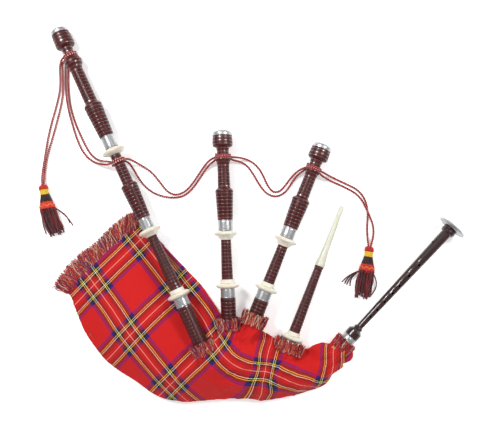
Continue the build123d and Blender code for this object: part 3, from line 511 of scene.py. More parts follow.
def stock(name, pipe, length, radius, band, ferrule_node):
    """A stock tied into the bag, with its silver ferrule."""
    outer = [(-length, radius), (-band - 0.1, radius), (-band, 15.2), (-0.4, 15.2)]
    outer = combed(outer, 8 - length, -band - 3)
    turned(f"{name}_wood", pipe, outer, [(-length, 10.4), (-0.4, 10.4)], WOOD, "root", f"{name}_stock")
    ferrule(f"{name}_stock_band", pipe, -band, -0.4, 16.6, 15.1, "root", ferrule_node)


def hemp(name, pipe, start, end, core, radius, body, node):
    """A winding of hemp thread."""
    outer = grooved([(start, radius), (end, radius)], [(start, end)], 1.2, 0.22, 0.5)
    turned(name, pipe, outer, [(start, core), (end, core)], HEMP, body, node)


def bottom(name, pipe, foot, end, end_radius, stub, stub_radius, stock_radius, body):
    """A drone's bottom joint with its two mounts and its tuning pin."""
    pin = end + stub + DISC[-1][0]
    tip = pin + PIN_LENGTH
    outer = [(-TENON_LENGTH, TENON_CORE), (0, TENON_CORE), (0.1, 12), (19.8, 12)]
    outer = combed(outer + [(20.2, foot), (28.2, foot), (end, end_radius)], 31, end - 4)
    outer += [(end, 8.8), (pin, 8.8), (pin, PIN_CORE), (tip, PIN_CORE)]
    turned(f"{name}_wood", pipe, outer, [(-TENON_LENGTH, 4), (tip, 4)], WOOD, body, f"{name}_joint")
    mount(f"{name}_lower_mount", pipe, 0, 0, 9, 0, stock_radius, 11, body, f"{name}_mounts")
    mount(f"{name}_upper_mount", pipe, end, stub, 0, stub_radius, 0, 8.7, body, f"{name}_mounts")


for name, pipe, length, radius, band, node in (
    ("bass", BASS, 150, 16.4, 21.5, "drone_stock_ferrules"),
    ("tenor_1", TENORS["tenor_1"], 112, 17.2, 21.5, "drone_stock_ferrules"),
    ("tenor_2", TENORS["tenor_2"], 112, 17.2, 21.5, "drone_stock_ferrules"),
    ("blowpipe", BLOWPIPE, 78, 17.2, 14, "blowpipe_stock_ferrule"),
    ("chanter", CHANTER, 84, 16.2, 13.5, "chanter_stock_ferrule"),
):
    stock(name, pipe, length, radius, band, node)

RING_CAP = [(5.4, 0), (7.0, -0.4), (8.4, -1.2), (9.8, -2.3), (10.6, -3.3), (11.4, -5)]


def ring_cap(name, pipe, start, radius, core, hole, body):
    """A silver ring cap with a rolled edge, a rounded shoulder and a turned-in lip."""
    outer = bead(start, radius - 0.4, 1.6, 0.7) + [(start + place, radius + drop) for place, drop in RING_CAP]
    outer.append((start + 11.4, hole))
    inner = [(start, core), (start + 10.3, core), (start + 10.3, hole)]
    turned(name, pipe, outer, inner, SILVER, body, name)


for name, pipe in TENORS.items():
    body = f"{name}_bottom"
    bottom(body, pipe, 13.1, 110, 11.6, 8.5, 13.6, 16.2, body)
    hemp(f"{name}_winding_1", pipe, -41, -2, TENON_CORE, TENON_HEMP, body, f"{name}_hemp")
    hemp(f"{name}_winding_2", pipe, 130.2, 188.7, PIN_CORE, PIN_HEMP, body, f"{name}_hemp")
    top = f"{name}_top"
    ferrule(f"{top}_band", pipe, 130.7, 155.3, 16.6, 15, top, f"{top}_ferrule")
    outer = [(130.8, 15), (155.4, 15)] + combed([(155.5, 17.2), (219, 20.2)], 160, 214)
    outer += [(221, 20.6), (224, 19.6), (227, 16.6), (227.5, 14.2)]
    outer += combed([(227.5, 14.2), (280, 13.4)], 232, 277)
    outer += [(286, 14.4), (290, 16.4), (294, 17.2), (296.5, 17)]
    outer += [(298, 15.8), (299, 13.6), (313, 13.2), (321, 15), (323.5, 21), (325.5, 22.6), (328, 23.2)]
    outer += [(338, 22.9), (348, 22.2), (348.1, 17.5), (358.3, 17.5)]
    inner = [(130.8, CHAMBER), (225, CHAMBER), (225.1, 7.5), (358.3, 7.5)]
    turned(f"{top}_wood", pipe, outer, inner, WOOD, top, f"{top}_joint")
    ring_cap(f"{name}_ring_cap", pipe, 348.1, 22.6, 17.6, 10.5, top)

bottom("bass_bottom", BASS, 13.9, 151.5, 10.4, 6.5, 13, 16.4, "bass_bottom")
hemp("bass_winding_1", BASS, -41, -2, TENON_CORE, TENON_HEMP, "bass_bottom", "bass_bottom_hemp")
hemp("bass_winding_2", BASS, 169.7, 228.2, PIN_CORE, PIN_HEMP, "bass_bottom", "bass_bottom_hemp")
hemp("bass_winding_3", BASS, 372.2, 430.7, PIN_CORE, PIN_HEMP, "bass_middle", "bass_middle_hemp")
ferrule("bass_middle_band", BASS, 169.7, 196.5, 14.2, 13, "bass_middle", "bass_middle_ferrule")
outer = [(169.9, 13), (196.6, 13), (196.7, 15.4)] + combed([(196.7, 15.4), (274, 19)], 200, 269)
outer += [(276, 19.3), (279, 18.4), (282, 15.4), (283, 12.8)]
outer += combed([(283, 12.8), (354.5, 12.1)], 286, 326)
outer += [(354.5, 8.8), (371.7, 8.8), (371.7, PIN_CORE), (433.7, PIN_CORE)]
inner = [(169.9, CHAMBER), (270, CHAMBER), (270.1, 5.5), (433.7, 5.5)]
turned("bass_middle_wood", BASS, outer, inner, WOOD, "bass_middle", "bass_middle_joint")
mount("bass_middle_collar", BASS, 354.5, 3, 3, 13, 13, 8.9, "bass_middle", "bass_middle_mount")
ferrule("bass_top_band", BASS, 372.2, 400.8, 15.2, 13.9, "bass_top", "bass_top_ferrule")
outer = [(372.4, 13.9), (400.9, 13.9), (401, 16.2)] + combed([(401, 16.2), (476, 20.4)], 405, 471)
outer += [(478, 20.6), (481, 19.6), (484, 16.8), (484.5, 14.6)]
outer += combed([(484.5, 14.6), (569, 13.9)], 489, 565)
outer += [(575, 15), (580, 17.8), (584, 19.8), (589, 20.5), (595, 19.6), (599, 17.6), (602, 15.2), (604, 12)]
outer += [(617, 11.5), (627, 13), (629.5, 20), (631.5, 21.5), (634, 22.2), (648, 21.7), (662, 20.8)]
outer += [(662.1, 15.6), (672, 15.6)]
inner = [(372.4, CHAMBER), (475, CHAMBER), (475.1, 7.5), (672, 7.5)]
turned("bass_top_wood", BASS, outer, inner, WOOD, "bass_top", "bass_top_joint")
ring_cap("bass_ring_cap", BASS, 662.1, 20.6, 15.7, 9.5, "bass_top")

outer = [(-30, TENON_CORE), (0, TENON_CORE), (0.1, 12), (19.8, 12), (20.2, 12.6)]
outer += combed([(20.2, 12.6), (174.5, 9.6)], 30, 170)
outer += bead(175, 9.7, 5.4, 1.0)
inner = [(-30, 5.5), (158, 5.5), (158.1, 6.4), (180.4, 6.4)]
turned("blowpipe_wood", BLOWPIPE, outer, inner, WOOD, "blowpipe", "blowpipe_body")
mount("blowpipe_lower_mount", BLOWPIPE, 0, 0, 9, 0, 15.4, 11, "blowpipe", "blowpipe_mount")
hemp("blowpipe_winding", BLOWPIPE, -27, -2, TENON_CORE, TENON_HEMP, "blowpipe", "blowpipe_hemp")
outer = [(160, 6.1), (180.7, 6.1), (180.8, 11.2), (182, 11.7), (187, 11.6), (188.8, 11.2), (203, 9.6)]
outer += [(217.8, 8.2), (270, 6.6), (325, 5.2), (328, 4.8), (329, 4)]
inner = [(160, 3.2), (329, 3.2)]
turned("mouthpiece_tube", BLOWPIPE, outer, inner, MOUTH_PLASTIC, "mouthpiece", "mouthpiece")

outer = [(335.7, 18), (336.6, 19.2), (337.1, 19.5), (337.5, 23), (337.5, 27), (336.9, 31.5), (337.3, 33)]
outer += [(338.9, 33.6), (340.7, 32.8), (341.7, 29.6)]
turned("chanter_sole_ring", CHANTER, outer, [(335.7, 12.9), (341.7, 12.9)], SILVER, "chanter", "chanter_sole")
hemp("chanter_winding", CHANTER, -27, -2, TENON_CORE, TENON_HEMP, "chanter", "chanter_hemp")

BINDING = plain_solid_material("binding_hemp", srgb(200, 172, 116), srgb(160, 130, 80), 0.8)
CAD_FINISHES = {
    "chanter_body": DARK_WOOD,
    "chanter_reed_staple": COPPER,
    "chanter_reed_blades": CANE,
    "blowpipe_valve_flap": LEATHER,
    "stock_bindings": BINDING,
}
for drone in ("bass", "tenor_1", "tenor_2"):
    CAD_FINISHES[f"{drone}_reed"] = CANE
    CAD_FINISHES[f"{drone}_reed_bridle"] = RUBBER
for name, material in CAD_FINISHES.items():
    mesh = NODES[name].data
    mesh.materials.clear()
    mesh.materials.append(material)

# ------------------------------------------------------------------ bag and cover

# Each rib of the bag: its upper end, its lower end, and its height at three places between.
RIBS = [
    ((-267, -11), (-448, -182), (8, 10, 8)),
    ((-262, -16), (-428, -208), (9, 11, 9)),
    ((-218, -64), (-398, -279), (15, 24, 20)),
    ((-171, -116), (-348, -341), (19, 38, 34)),
    ((-125, -165), (-283, -387), (23, 46, 44)),
    ((-95, -209), (-218, -426), (34, 54, 50)),
    ((-70, -240), (-144, -432), (66, 84, 58)),
    ((-22, -256), (-63, -422), (66, 72, 56)),
    ((31, -277), (6, -427), (64, 68, 56)),
    ((76, -306), (77, -418), (58, 64, 54)),
    ((127, -311), (141, -403), (50, 56, 50)),
    ((165, -300), (200, -350), (42, 52, 44)),
]
# Each sleeve: its pipe, where the pipe's foot lies before the stock's mouth, where the sleeve ends
# after the foot, its radius where it leaves the bag and at its mouth, and its stock's length.
SLEEVES = {
    "bass": (BASS, 120, 0, 23, 25, 150),
    "tenor_1": (TENORS["tenor_1"], 83.5, 8, 23.5, 25, 112),
    "tenor_2": (TENORS["tenor_2"], 63, 0, 23.5, 27, 112),
    "blowpipe": (BLOWPIPE, 23, 14, 23.5, 31, 78),
    "chanter": (CHANTER, 42.5, 22, 22.5, 21.5, 84),
}
# Rounded folds of the cover beside the chanter's sleeve: middle, and half size each way.
SIDE_FOLDS = [((196, -322, 25), (25, 21, 21)), ((150, -318, 28), (34, 22, 26))]
COVER_FACE, BAG_FACE = 3.2, 5.0  # size of the faces, mm
CLOTH_THICKNESS, LEATHER_INSET = 1.2, 8.5
NECK_PIVOT, NECK_TWIST = np.array((-60.0, -345.0)), -32  # where and how far the pattern turns at the neck
TARTAN_START = np.array((-379.1, -161.9))
TARTAN_STEPS = np.array(((91.7, -112.2), (105.4, 103.1)))


def smooth_path(points, count):
    """count points on a smooth line through the given ones."""
    points = np.asarray(points, float)
    padded = np.vstack((2 * points[0] - points[1], points, 2 * points[-1] - points[-2]))
    result = []
    for t in np.linspace(0, len(points) - 1, count):
        first = min(int(t), len(points) - 2)
        a, b, c, d = padded[first : first + 4]
        t -= first
        bend = (2 * a - 5 * b + 4 * c - d) * t**2 + (3 * b - a - 3 * c + d) * t**3
        result.append(0.5 * (2 * b + (c - a) * t + bend))
    return np.array(result)


def skinned(made, rows):
    """Joins each ring of points to the next with faces."""
    for row, after in zip(rows, rows[1:]):
        for place in range(len(row)):
            made.faces.new((row[place - 1], row[place], after[place], after[place - 1]))


def bag_solid(ribs):
    """The closed outline of the bag with its sleeves, as one mesh made of overlapping solids, in metres."""
    made = bmesh.new()
    table = smooth_path([(*upper, *lower, *heights) for upper, lower, heights in ribs], 64)
    rows = []
    for ux, uy, lx, ly, *heights in table:
        edge = 0.35 * min(heights[0], heights[2])
        shape = [(-1, edge), (-0.5, heights[0]), (0, heights[1]), (0.5, heights[2]), (1, edge)]
        crown = smooth_path(shape, 33)
        ring = [*crown, (0.985, edge * 0.45), (0.96, 0), *((s, 0) for s in np.linspace(0.8, -0.8, 9))]
        ring += [(-0.96, 0), (-0.985, edge * 0.45)]
        upper, lower = np.array((ux, uy)), np.array((lx, ly))
        spots = [(*(upper + (lower - upper) * (s + 1) / 2), z) for s, z in ring]
        rows.append([made.verts.new([value * MM for value in spot]) for spot in spots])
    skinned(made, rows)
    made.faces.new(rows[0])
    made.faces.new(rows[-1][::-1])
    for pipe, foot, mouth, root, flare, length in SLEEVES.values():
        start, end = -length - 24, mouth - foot
        places = (start, start + 0.55 * (end - start), end - 12, end)
        radii = (root - 3, root, (root + 2 * flare) / 3, flare)
        rows = []
        for place, radius in zip(places, radii):
            angles = np.linspace(0, 2 * math.pi, 40, endpoint=False)
            spots = [Vector((radius * math.cos(angle), radius * math.sin(angle), place)) for angle in angles]
            rows.append([made.verts.new(pipe @ (spot * MM)) for spot in spots])
        skinned(made, rows)
        made.faces.new(rows[0][::-1])
        made.faces.new(rows[-1])
    for centre, size in SIDE_FOLDS:
        stretch = Matrix.Diagonal((*(value * MM for value in size), 1))
        place = Matrix.Translation(Vector(centre) * MM) @ stretch
        bmesh.ops.create_icosphere(made, subdivisions=4, radius=1.0, matrix=place)
    bmesh.ops.recalc_face_normals(made, faces=made.faces)
    mesh = bpy.data.meshes.new("bag_outline")
    made.to_mesh(mesh)
    made.free()
    return mesh


def remeshed(mesh, size, smoothing):
    """The outer skin of overlapping solids, in even faces of about the given size."""
    worker = bpy.data.objects.new("worker", mesh)
    bpy.context.scene.collection.objects.link(worker)
    skin = worker.modifiers.new("skin", "REMESH")
    skin.mode, skin.voxel_size = "VOXEL", size
    soften = worker.modifiers.new("soften", "SMOOTH")
    soften.factor, soften.iterations = 0.5, smoothing
    bpy.context.view_layer.update()
    result = bpy.data.meshes.new_from_object(worker.evaluated_get(bpy.context.evaluated_depsgraph_get()))
    bpy.data.objects.remove(worker)
    return result


def normals_of(mesh):
    """Unit normals at a mesh's vertices."""
    values = np.zeros(len(mesh.vertices) * 3, np.float32)
    mesh.vertex_normals.foreach_get("vector", values)
    return values.reshape(-1, 3).astype(float)


def places_of(mesh):
    """The places of a mesh's vertices."""
    values = np.zeros(len(mesh.vertices) * 3, np.float32)
    mesh.vertices.foreach_get("co", values)
    return values.reshape(-1, 3).astype(float)


def set_places(mesh, points):
    """Moves a mesh's vertices to the given places."""
    mesh.vertices.foreach_set("co", points.astype(np.float32).ravel())


def about_pipe(points, pipe):
    """For points in metres: distance along a pipe, distance from its axis (both mm), and angle about it."""
    matrix = np.array(pipe.inverted())
    local = (points @ matrix[:3, :3].T + matrix[:3, 3]) / MM
    return local[:, 2], np.hypot(local[:, 0], local[:, 1]), np.arctan2(local[:, 1], local[:, 0])


def wrinkles(points):
    """How far the cloth stands out at each point, in mm: soft dents, and folds at the sleeves."""
    rise = np.array(
        [
            1.6 * noise.noise(Vector((x * 14, y * 14, z * 14)))
            + 0.8 * noise.noise(Vector((x * 34 + 5, y * 34, z * 34)))
            for x, y, z in points
        ]
    )
    for place, (pipe, foot, mouth, root, flare, length) in enumerate(SLEEVES.values()):
        along, away, angle = about_pipe(points, pipe)
        behind = (mouth - foot) - along
        near = np.exp(-(((away - root) / 26) ** 2)) * np.exp(-behind.clip(0) / 70) * (behind > -6)
        lean = angle + 0.012 * behind
        folds = np.sin(7 * lean + place) + 0.6 * np.sin(12 * lean + 2.1 * place) + 0.3 * np.sin(19 * lean)
        rise += 2.3 * near * folds
    neck = np.clip((points[:, 0] + 0.13) / 0.07, 0, 1)
    for place, (x, y, z) in enumerate(points):
        if neck[place] > 0:
            crease = 1 - abs(noise.noise(Vector((x * 17 + 3, y * 26 - 2, z * 12)))) * 2.4
            swell = noise.noise(Vector((x * 11, y * 15 + 7, z * 9)))
            rise[place] += neck[place] * (4.2 * crease - 2.0 + 3.0 * swell)
    return rise


cover_mesh = remeshed(bag_solid(RIBS), COVER_FACE * MM, 6)
bag_mesh = remeshed(bag_solid(RIBS[2:]), BAG_FACE * MM, 8)

points, normals = places_of(cover_mesh), normals_of(cover_mesh)
points += normals * (wrinkles(points) * np.clip(points[:, 2] / 0.012, 0, 1))[:, None] * MM
points[:, 2] = points[:, 2].clip(0.0005)
set_places(cover_mesh, points)
opened = bmesh.new()
opened.from_mesh(cover_mesh)
centres = np.array([face.calc_center_median()[:] for face in opened.faces])
gone = np.zeros(len(centres), bool)
for pipe, foot, mouth, root, flare, length in SLEEVES.values():
    along, away, _ = about_pipe(centres, pipe)
    gone |= (along > mouth - foot - 3.2) & (along < mouth - foot + 8) & (away < flare + 4)
opened.faces.ensure_lookup_table()
bmesh.ops.delete(opened, geom=[opened.faces[place] for place in np.nonzero(gone)[0]], context="FACES")
opened.to_mesh(cover_mesh)
opened.free()
points = places_of(cover_mesh)
# In the gathered neck the cloth turns with the bag, and is pulled about by its folds.
pull = np.array([noise.noise_vector(Vector(place) * 13)[:2] for place in points])
neck = np.clip((points[:, 0] / MM + 105) / 110, 0, 1)
neck = (neck * neck * (3 - 2 * neck))[:, None]
turn = np.radians(NECK_TWIST) * neck
from_pivot = points[:, :2] / MM - NECK_PIVOT
turned_round = np.column_stack(
    (
        from_pivot[:, 0] * np.cos(turn[:, 0]) - from_pivot[:, 1] * np.sin(turn[:, 0]),
        from_pivot[:, 0] * np.sin(turn[:, 0]) + from_pivot[:, 1] * np.cos(turn[:, 0]),
    )
)
lie = turned_round + NECK_PIVOT + pull * (2.0 + 13.0 * neck)
flat = np.linalg.solve(TARTAN_STEPS.T, (lie - TARTAN_START).T).T * TARTAN_REPEAT
# Cloth on steep sides keeps its own length, so the pattern also runs on with height there.
flat += (points[:, 2:] / MM - 40).clip(-40, 30) * 0.12
weave = cover_mesh.attributes.new("weave", "FLOAT_VECTOR", "POINT")
weave.data.foreach_set("vector", np.column_stack((flat, np.zeros(len(flat)))).astype(np.float32).ravel())
cover_mesh.materials.clear()
cover_mesh.materials.append(TARTAN)
cover_mesh.polygons.foreach_set("use_smooth", [True] * len(cover_mesh.polygons))
cover = bpy.data.objects.new("tartan_cover", cover_mesh)
bpy.context.scene.collection.objects.link(cover)
thicken = cover.modifiers.new("cloth", "SOLIDIFY")
thicken.thickness, thicken.offset = CLOTH_THICKNESS * MM, -1
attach(cover, "root")
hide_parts("bag_cover")

points, normals = places_of(bag_mesh), normals_of(bag_mesh)
points -= normals * (LEATHER_INSET * MM)
points[:, 2] = points[:, 2].clip(0.002)
set_places(bag_mesh, points)
bag_mesh.materials.clear()
bag_mesh.materials.append(LEATHER)
bag_mesh.polygons.foreach_set("use_smooth", [True] * len(bag_mesh.polygons))
bag = bpy.data.objects.new("leather_bag", bag_mesh)
bpy.context.scene.collection.objects.link(bag)
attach(bag, "root")
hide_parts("bag")

# ------------------------------------------------------------------ threads and cords


def tube_rows(path, radius, sides):
    """Rings of points round a path in millimetres, and the angle and distance along of each point."""
    path = np.asarray(path, float)
    ahead = np.gradient(path, axis=0)
    ahead /= np.linalg.norm(ahead, axis=1)[:, None] + 1e-9
    side = np.cross((0.0, 0.0, 1.0), ahead[0])
    if np.linalg.norm(side) < 0.1:
        side = np.cross((1.0, 0.0, 0.0), ahead[0])
    sides_all = []
    for direction in ahead:
        side = side - direction * (side @ direction)
        side /= np.linalg.norm(side)
        sides_all.append(side)
    side = np.array(sides_all)
    over = np.cross(ahead, side)
    along = np.concatenate(([0], np.cumsum(np.linalg.norm(np.diff(path, axis=0), axis=1))))
    angles = np.linspace(0, 2 * math.pi, sides, endpoint=False)
    radii = np.broadcast_to(radius, (len(path), sides))
    ring = side[:, None] * np.cos(angles)[None, :, None] + over[:, None] * np.sin(angles)[None, :, None]
    return path[:, None] + ring * radii[:, :, None], angles, along


def tube_faces(rows, sides, start):
    """Faces of a closed tube whose points start at the given number."""
    faces = []
    for row in range(rows - 1):
        low, high = start + row * sides, start + (row + 1) * sides
        for turn in range(sides):
            beside = (turn + 1) % sides
            faces.append((low + turn, low + beside, high + beside, high + turn))
    faces.append(tuple(range(start + sides - 1, start - 1, -1)))
    faces.append(tuple(range(start + (rows - 1) * sides, start + rows * sides)))
    return faces


def threads(name, strands, material, sides=6):
    """One mesh of many threads. strands lists (path in mm, radius in mm, its number for colour)."""
    vertices, faces, tags = [], [], []
    start = 0
    for path, radius, pick in strands:
        rings, angles, along = tube_rows(path, radius, sides)
        rings[:, :, 2] = np.maximum(rings[:, :, 2], 0.25)
        vertices.append(rings.reshape(-1, 3))
        tag = np.zeros((*rings.shape[:2], 3))
        tag[:, :, 0], tag[:, :, 1], tag[:, :, 2] = pick, along[:, None], angles / (2 * math.pi)
        tags.append(tag.reshape(-1, 3))
        faces += tube_faces(len(rings), sides, start)
        start += rings.shape[0] * sides
    vertices = np.concatenate(vertices) * MM
    return new_piece(name, vertices.tolist(), faces, material, {"thread": np.concatenate(tags)}, 60)


chance = random.Random(41)


def wavy(start, end, rise, sway, count=9):
    """A thread's path from start to end, sagging to rise at its middle and swaying to either side."""
    start, end = np.asarray(start, float), np.asarray(end, float)
    share = np.linspace(0, 1, count)[:, None]
    path = start + (end - start) * share
    path[:, 2] += rise * 4 * (share * (1 - share))[:, 0]
    across = np.cross(end - start, (0, 0, 1.0))
    across /= np.linalg.norm(across) + 1e-9
    phase, pace = chance.uniform(0, 6.28), chance.uniform(3, 9)
    wave = np.sin(share[:, 0] * pace + phase) - math.sin(phase)
    return path + across * (wave * sway * share[:, 0] ** 0.7)[:, None]


# The wool fringe sewn into the end of the cover.
SEAM = smooth_path([(-268, -14), (-313, -55), (-358, -98), (-403, -141), (-444, -182)], 300)
FRINGE_EDGE = [(-276, 6), (-300, 0), (-338, -28), (-376, -66), (-412, -92), (-446, -128), (-474, -168)]
FRINGE_EDGE = smooth_path(FRINGE_EDGE, 300)
END_THREADS, COLLAR_THREADS = 1000, 380
strands = []
for place in range(END_THREADS):
    share = chance.random()
    root = SEAM[int(share * 299)] + np.array((chance.uniform(-3, 5), chance.uniform(-5, 3)))
    tip = FRINGE_EDGE[int(np.clip(share + chance.gauss(0, 0.035), 0, 1) * 299)]
    tip = root + (tip - root) * chance.uniform(0.72, 1.05)
    start = (*root, chance.uniform(1.2, 8.0))
    finish_at = (*tip, chance.uniform(0.7, 5.5))
    path = wavy(start, finish_at, chance.uniform(0, 2), chance.uniform(0.8, 3.6))
    strands.append((path, chance.uniform(0.45, 0.8), chance.random()))
end_fringe = threads("end_fringe_threads", strands, FRINGE)
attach(end_fringe, "root")
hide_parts("cover_end_fringe")

for name, (pipe, foot, mouth, root_radius, flare, length) in SLEEVES.items():
    strands = []
    end = mouth - foot
    for place in range(COLLAR_THREADS):
        angle = 2 * math.pi * place / COLLAR_THREADS + chance.uniform(-0.02, 0.02)
        lean = angle + chance.gauss(0, 0.16)
        first = (flare + chance.uniform(-0.2, 2.4), angle, end - chance.uniform(13, 21))
        last = (flare + chance.uniform(-3.0, 4.5), lean, end + chance.uniform(2, 10))
        ends = []
        for radius, turn, along in (first, last):
            spot = pipe @ (Vector((radius * math.cos(turn), radius * math.sin(turn), along)) * MM)
            ends.append(np.array(spot) / MM)
        path = wavy(*ends, 0.4, chance.uniform(0.3, 1.2), 7)
        strands.append((path, chance.uniform(0.4, 0.7), chance.random()))
    collar = threads(f"{name}_collar_fringe", strands, FRINGE, 5)
    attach(collar, "root")
    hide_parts("collar_fringes")


def route(points):
    """The cord's line through its routing points, as closely spaced points in millimetres."""
    curve = bpy.data.curves.new("route", "CURVE")
    curve.dimensions, curve.resolution_u = "3D", 14
    spline = curve.splines.new("NURBS")
    spline.points.add(len(points) - 1)
    for point, place in zip(spline.points, points):
        point.co = (*(value * MM for value in place), 1)
    spline.order_u, spline.use_endpoint_u = 3, True
    worker = bpy.data.objects.new("route", curve)
    bpy.context.scene.collection.objects.link(worker)
    bpy.context.view_layer.update()
    mesh = bpy.data.meshes.new_from_object(worker.evaluated_get(bpy.context.evaluated_depsgraph_get()))
    bpy.data.objects.remove(worker)
    line = places_of(mesh) / MM
    along = np.concatenate(([0], np.cumsum(np.linalg.norm(np.diff(line, axis=0), axis=1))))
    spots = np.linspace(0, along[-1], int(along[-1] / 1.3))
    return np.column_stack([np.interp(spots, along, line[:, axis]) for axis in range(3)])


CORD_RADIUS = 2.5


def braided(name, path, phase=0.0):
    """A braided tube along a path in millimetres, its surface lumpy with crossing yarns."""
    sides = 14
    angles = np.linspace(0, 2 * math.pi, sides, endpoint=False)
    along = np.concatenate(([0], np.cumsum(np.linalg.norm(np.diff(path, axis=0), axis=1)))) + phase
    lumps = np.sin(2 * angles + along[:, None] * 2.17) * np.sin(2 * angles - along[:, None] * 2.17)
    radius = CORD_RADIUS * (1 + 0.055 * lumps)
    rings, angles, _ = tube_rows(path, radius, sides)
    tag = np.zeros((*rings.shape[:2], 3))
    tag[:, :, 0], tag[:, :, 1], tag[:, :, 2] = np.cos(angles), np.sin(angles), along[:, None]
    faces = tube_faces(len(rings), sides, 0)
    vertices = (rings.reshape(-1, 3) * MM).tolist()
    return new_piece(name, vertices, faces, BRAID, {"braid": tag.reshape(-1, 3)}, 60)


def reaching(points, pipe, centre, wood_radius, at_end):
    """A cord's routing points, carried on at one end to meet its wrap round a drone."""
    near = np.array(pipe.inverted() @ (Vector(points[-1 if at_end else 0]) * MM)) / MM
    shrink = (wood_radius + CORD_RADIUS) / math.hypot(near[0], near[1])
    level = centre + float(np.clip(near[2] - centre, -4, 4))
    target = pipe @ (Vector((near[0] * shrink, near[1] * shrink, level)) * MM)
    extra = [tuple(value / MM for value in target)]
    return [*points, *extra] if at_end else [*extra, *points]


def declare(path, with_pieces=()):
    """Turns a cord's path in millimetres into a list in metres, which is not kept."""
    line = (path * MM).tolist()


def wrap(name, pipe, centre, wood_radius, body, node=None):
    """Two turns of the cord round a drone."""
    turns, pitch = 2.0, 4.75
    share = np.linspace(0, 1, 150)
    angle = share * turns * 2 * math.pi
    radius = wood_radius + CORD_RADIUS + 0.2
    place = centre + (share - 0.5) * turns * pitch
    spots = np.column_stack((radius * np.cos(angle), radius * np.sin(angle), place))
    matrix = np.array(pipe)
    path = spots @ matrix[:3, :3].T + matrix[:3, 3] / MM
    piece = braided(name, path)
    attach(piece, body)
    if node:
        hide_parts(node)
    return piece


F = CORD_RADIUS  # height of a cord's middle where it lies on the ground
TASSEL_1_STRANDS = [
    [(-446, 357, 25), (-453.5, 340, 15), (-455, 319, 5), (-456, 289, F), (-465, 250, F), (-476.5, 211, F)]
    + [(-485, 173, F), (-490, 142.5, F), (-494.5, 112, 3), (-497, 89, 6), (-496, 76, 9), (-495, 63, 10)],
    [(-445.5, 351, 19), (-449.2, 335, 9), (-449.5, 314, 3), (-449, 288, F), (-452.5, 258, F), (-463, 216, F)]
    + [(-474, 176, F), (-483, 146, F), (-488.5, 119, 3), (-491, 93, 6), (-490.5, 76, 9), (-492.5, 63, 10)],
]
BASS_STRANDS = [
    [(-442, 346, 12), (-443, 332, 4), (-443.5, 311, F), (-442.5, 281, F), (-438, 248, F), (-430, 217, F)]
    + [(-421, 186.5, F), (-409, 154.5, F), (-394, 133, F), (-376.5, 120.5, 5), (-355, 114.5, 15)]
    + [(-336, 114, 30)],
    [(-436.5, 338, 5), (-437.6, 324, F), (-437.5, 304, F), (-436, 276, F), (-431.5, 247, F), (-423, 217, F)]
    + [(-411, 188, F), (-399, 163, F), (-388, 143, F), (-374.5, 129.5, 6), (-355.5, 122, 18)]
    + [(-334.5, 120, 36)],
]
BASS_TENOR_STRANDS = [
    [(-294.5, 128, 32), (-281, 121.5, 18), (-262.5, 111, 6), (-243, 97.5, F), (-225, 75.5, F)]
    + [(-209.5, 54.5, F)]
    + [(-191.5, 44.5, F), (-171, 49, F), (-154, 64, F), (-138.5, 86, F), (-124, 108, 4), (-111, 123, 11)]
    + [(-98, 130.5, 21)],
    [(-293.5, 120.5, 26), (-284.5, 105, 13), (-273, 82, 4), (-258, 63.5, F), (-240.5, 50, F), (-217, 41, F)]
    + [(-191.5, 38, F), (-168, 42, F), (-148.5, 59, F), (-132.5, 82, F), (-118.5, 103, 4), (-107.5, 116.5, 9)]
    + [(-97, 123, 17)],
]
TENOR_STRANDS = [
    [(-55, 131.5, 22), (-36, 131, 12), (-15, 125, 4), (3, 111, F), (15.5, 90.5, F), (25.5, 67, F)]
    + [(38.5, 51, F)]
    + [(55, 53, F), (68.5, 68.5, F), (81, 86, 4), (94.5, 99.5, 9), (109.5, 107.5, 19)],
    [(-55.5, 124.5, 17), (-37, 122.5, 8), (-20, 112, 3), (-6, 91.5, F), (8, 66.5, F), (24.5, 47, F)]
    + [(45.5, 40, F)]
    + [(65.5, 49, F), (78.5, 67, F), (88.5, 82.5, 3), (98, 93.5, 7), (108, 100.5, 14)],
]
TASSEL_2_STRANDS = [
    [(151, 97.5, 20), (168.5, 89, 10), (189.5, 79.5, 3), (211, 69.5, F), (233, 59, F), (249, 42, F)]
    + [(257.5, 19.5, F)]
    + [(259, -6, F), (257, -30.5, 3), (257.5, -52, 6), (258.5, -68, 9), (260.5, -80, 10)],
    [(149, 90, 16), (166, 80.5, 7), (187.5, 71, F), (208.5, 61.5, F), (229, 50.5, F), (244, 35.5, F)]
    + [(254, 15.5, 6)]
    + [(264.5, -6, F), (272.5, -29.5, 3), (271.5, -52, 6), (266, -68.5, 9), (263.5, -80, 10)],
]

# ------------------------------------------------------------------ tassels

# Along a tassel from its head: distance, half width, half height.
TASSEL = np.array(
    [(0, 5.4, 5), (3, 9.6, 9), (9, 10.8, 10), (13, 9.4, 9), (24, 9.6, 9), (40, 14.5, 11)]
    + [(56, 18.5, 11), (92, 19, 8), (126, 18, 5)],
    float,
)


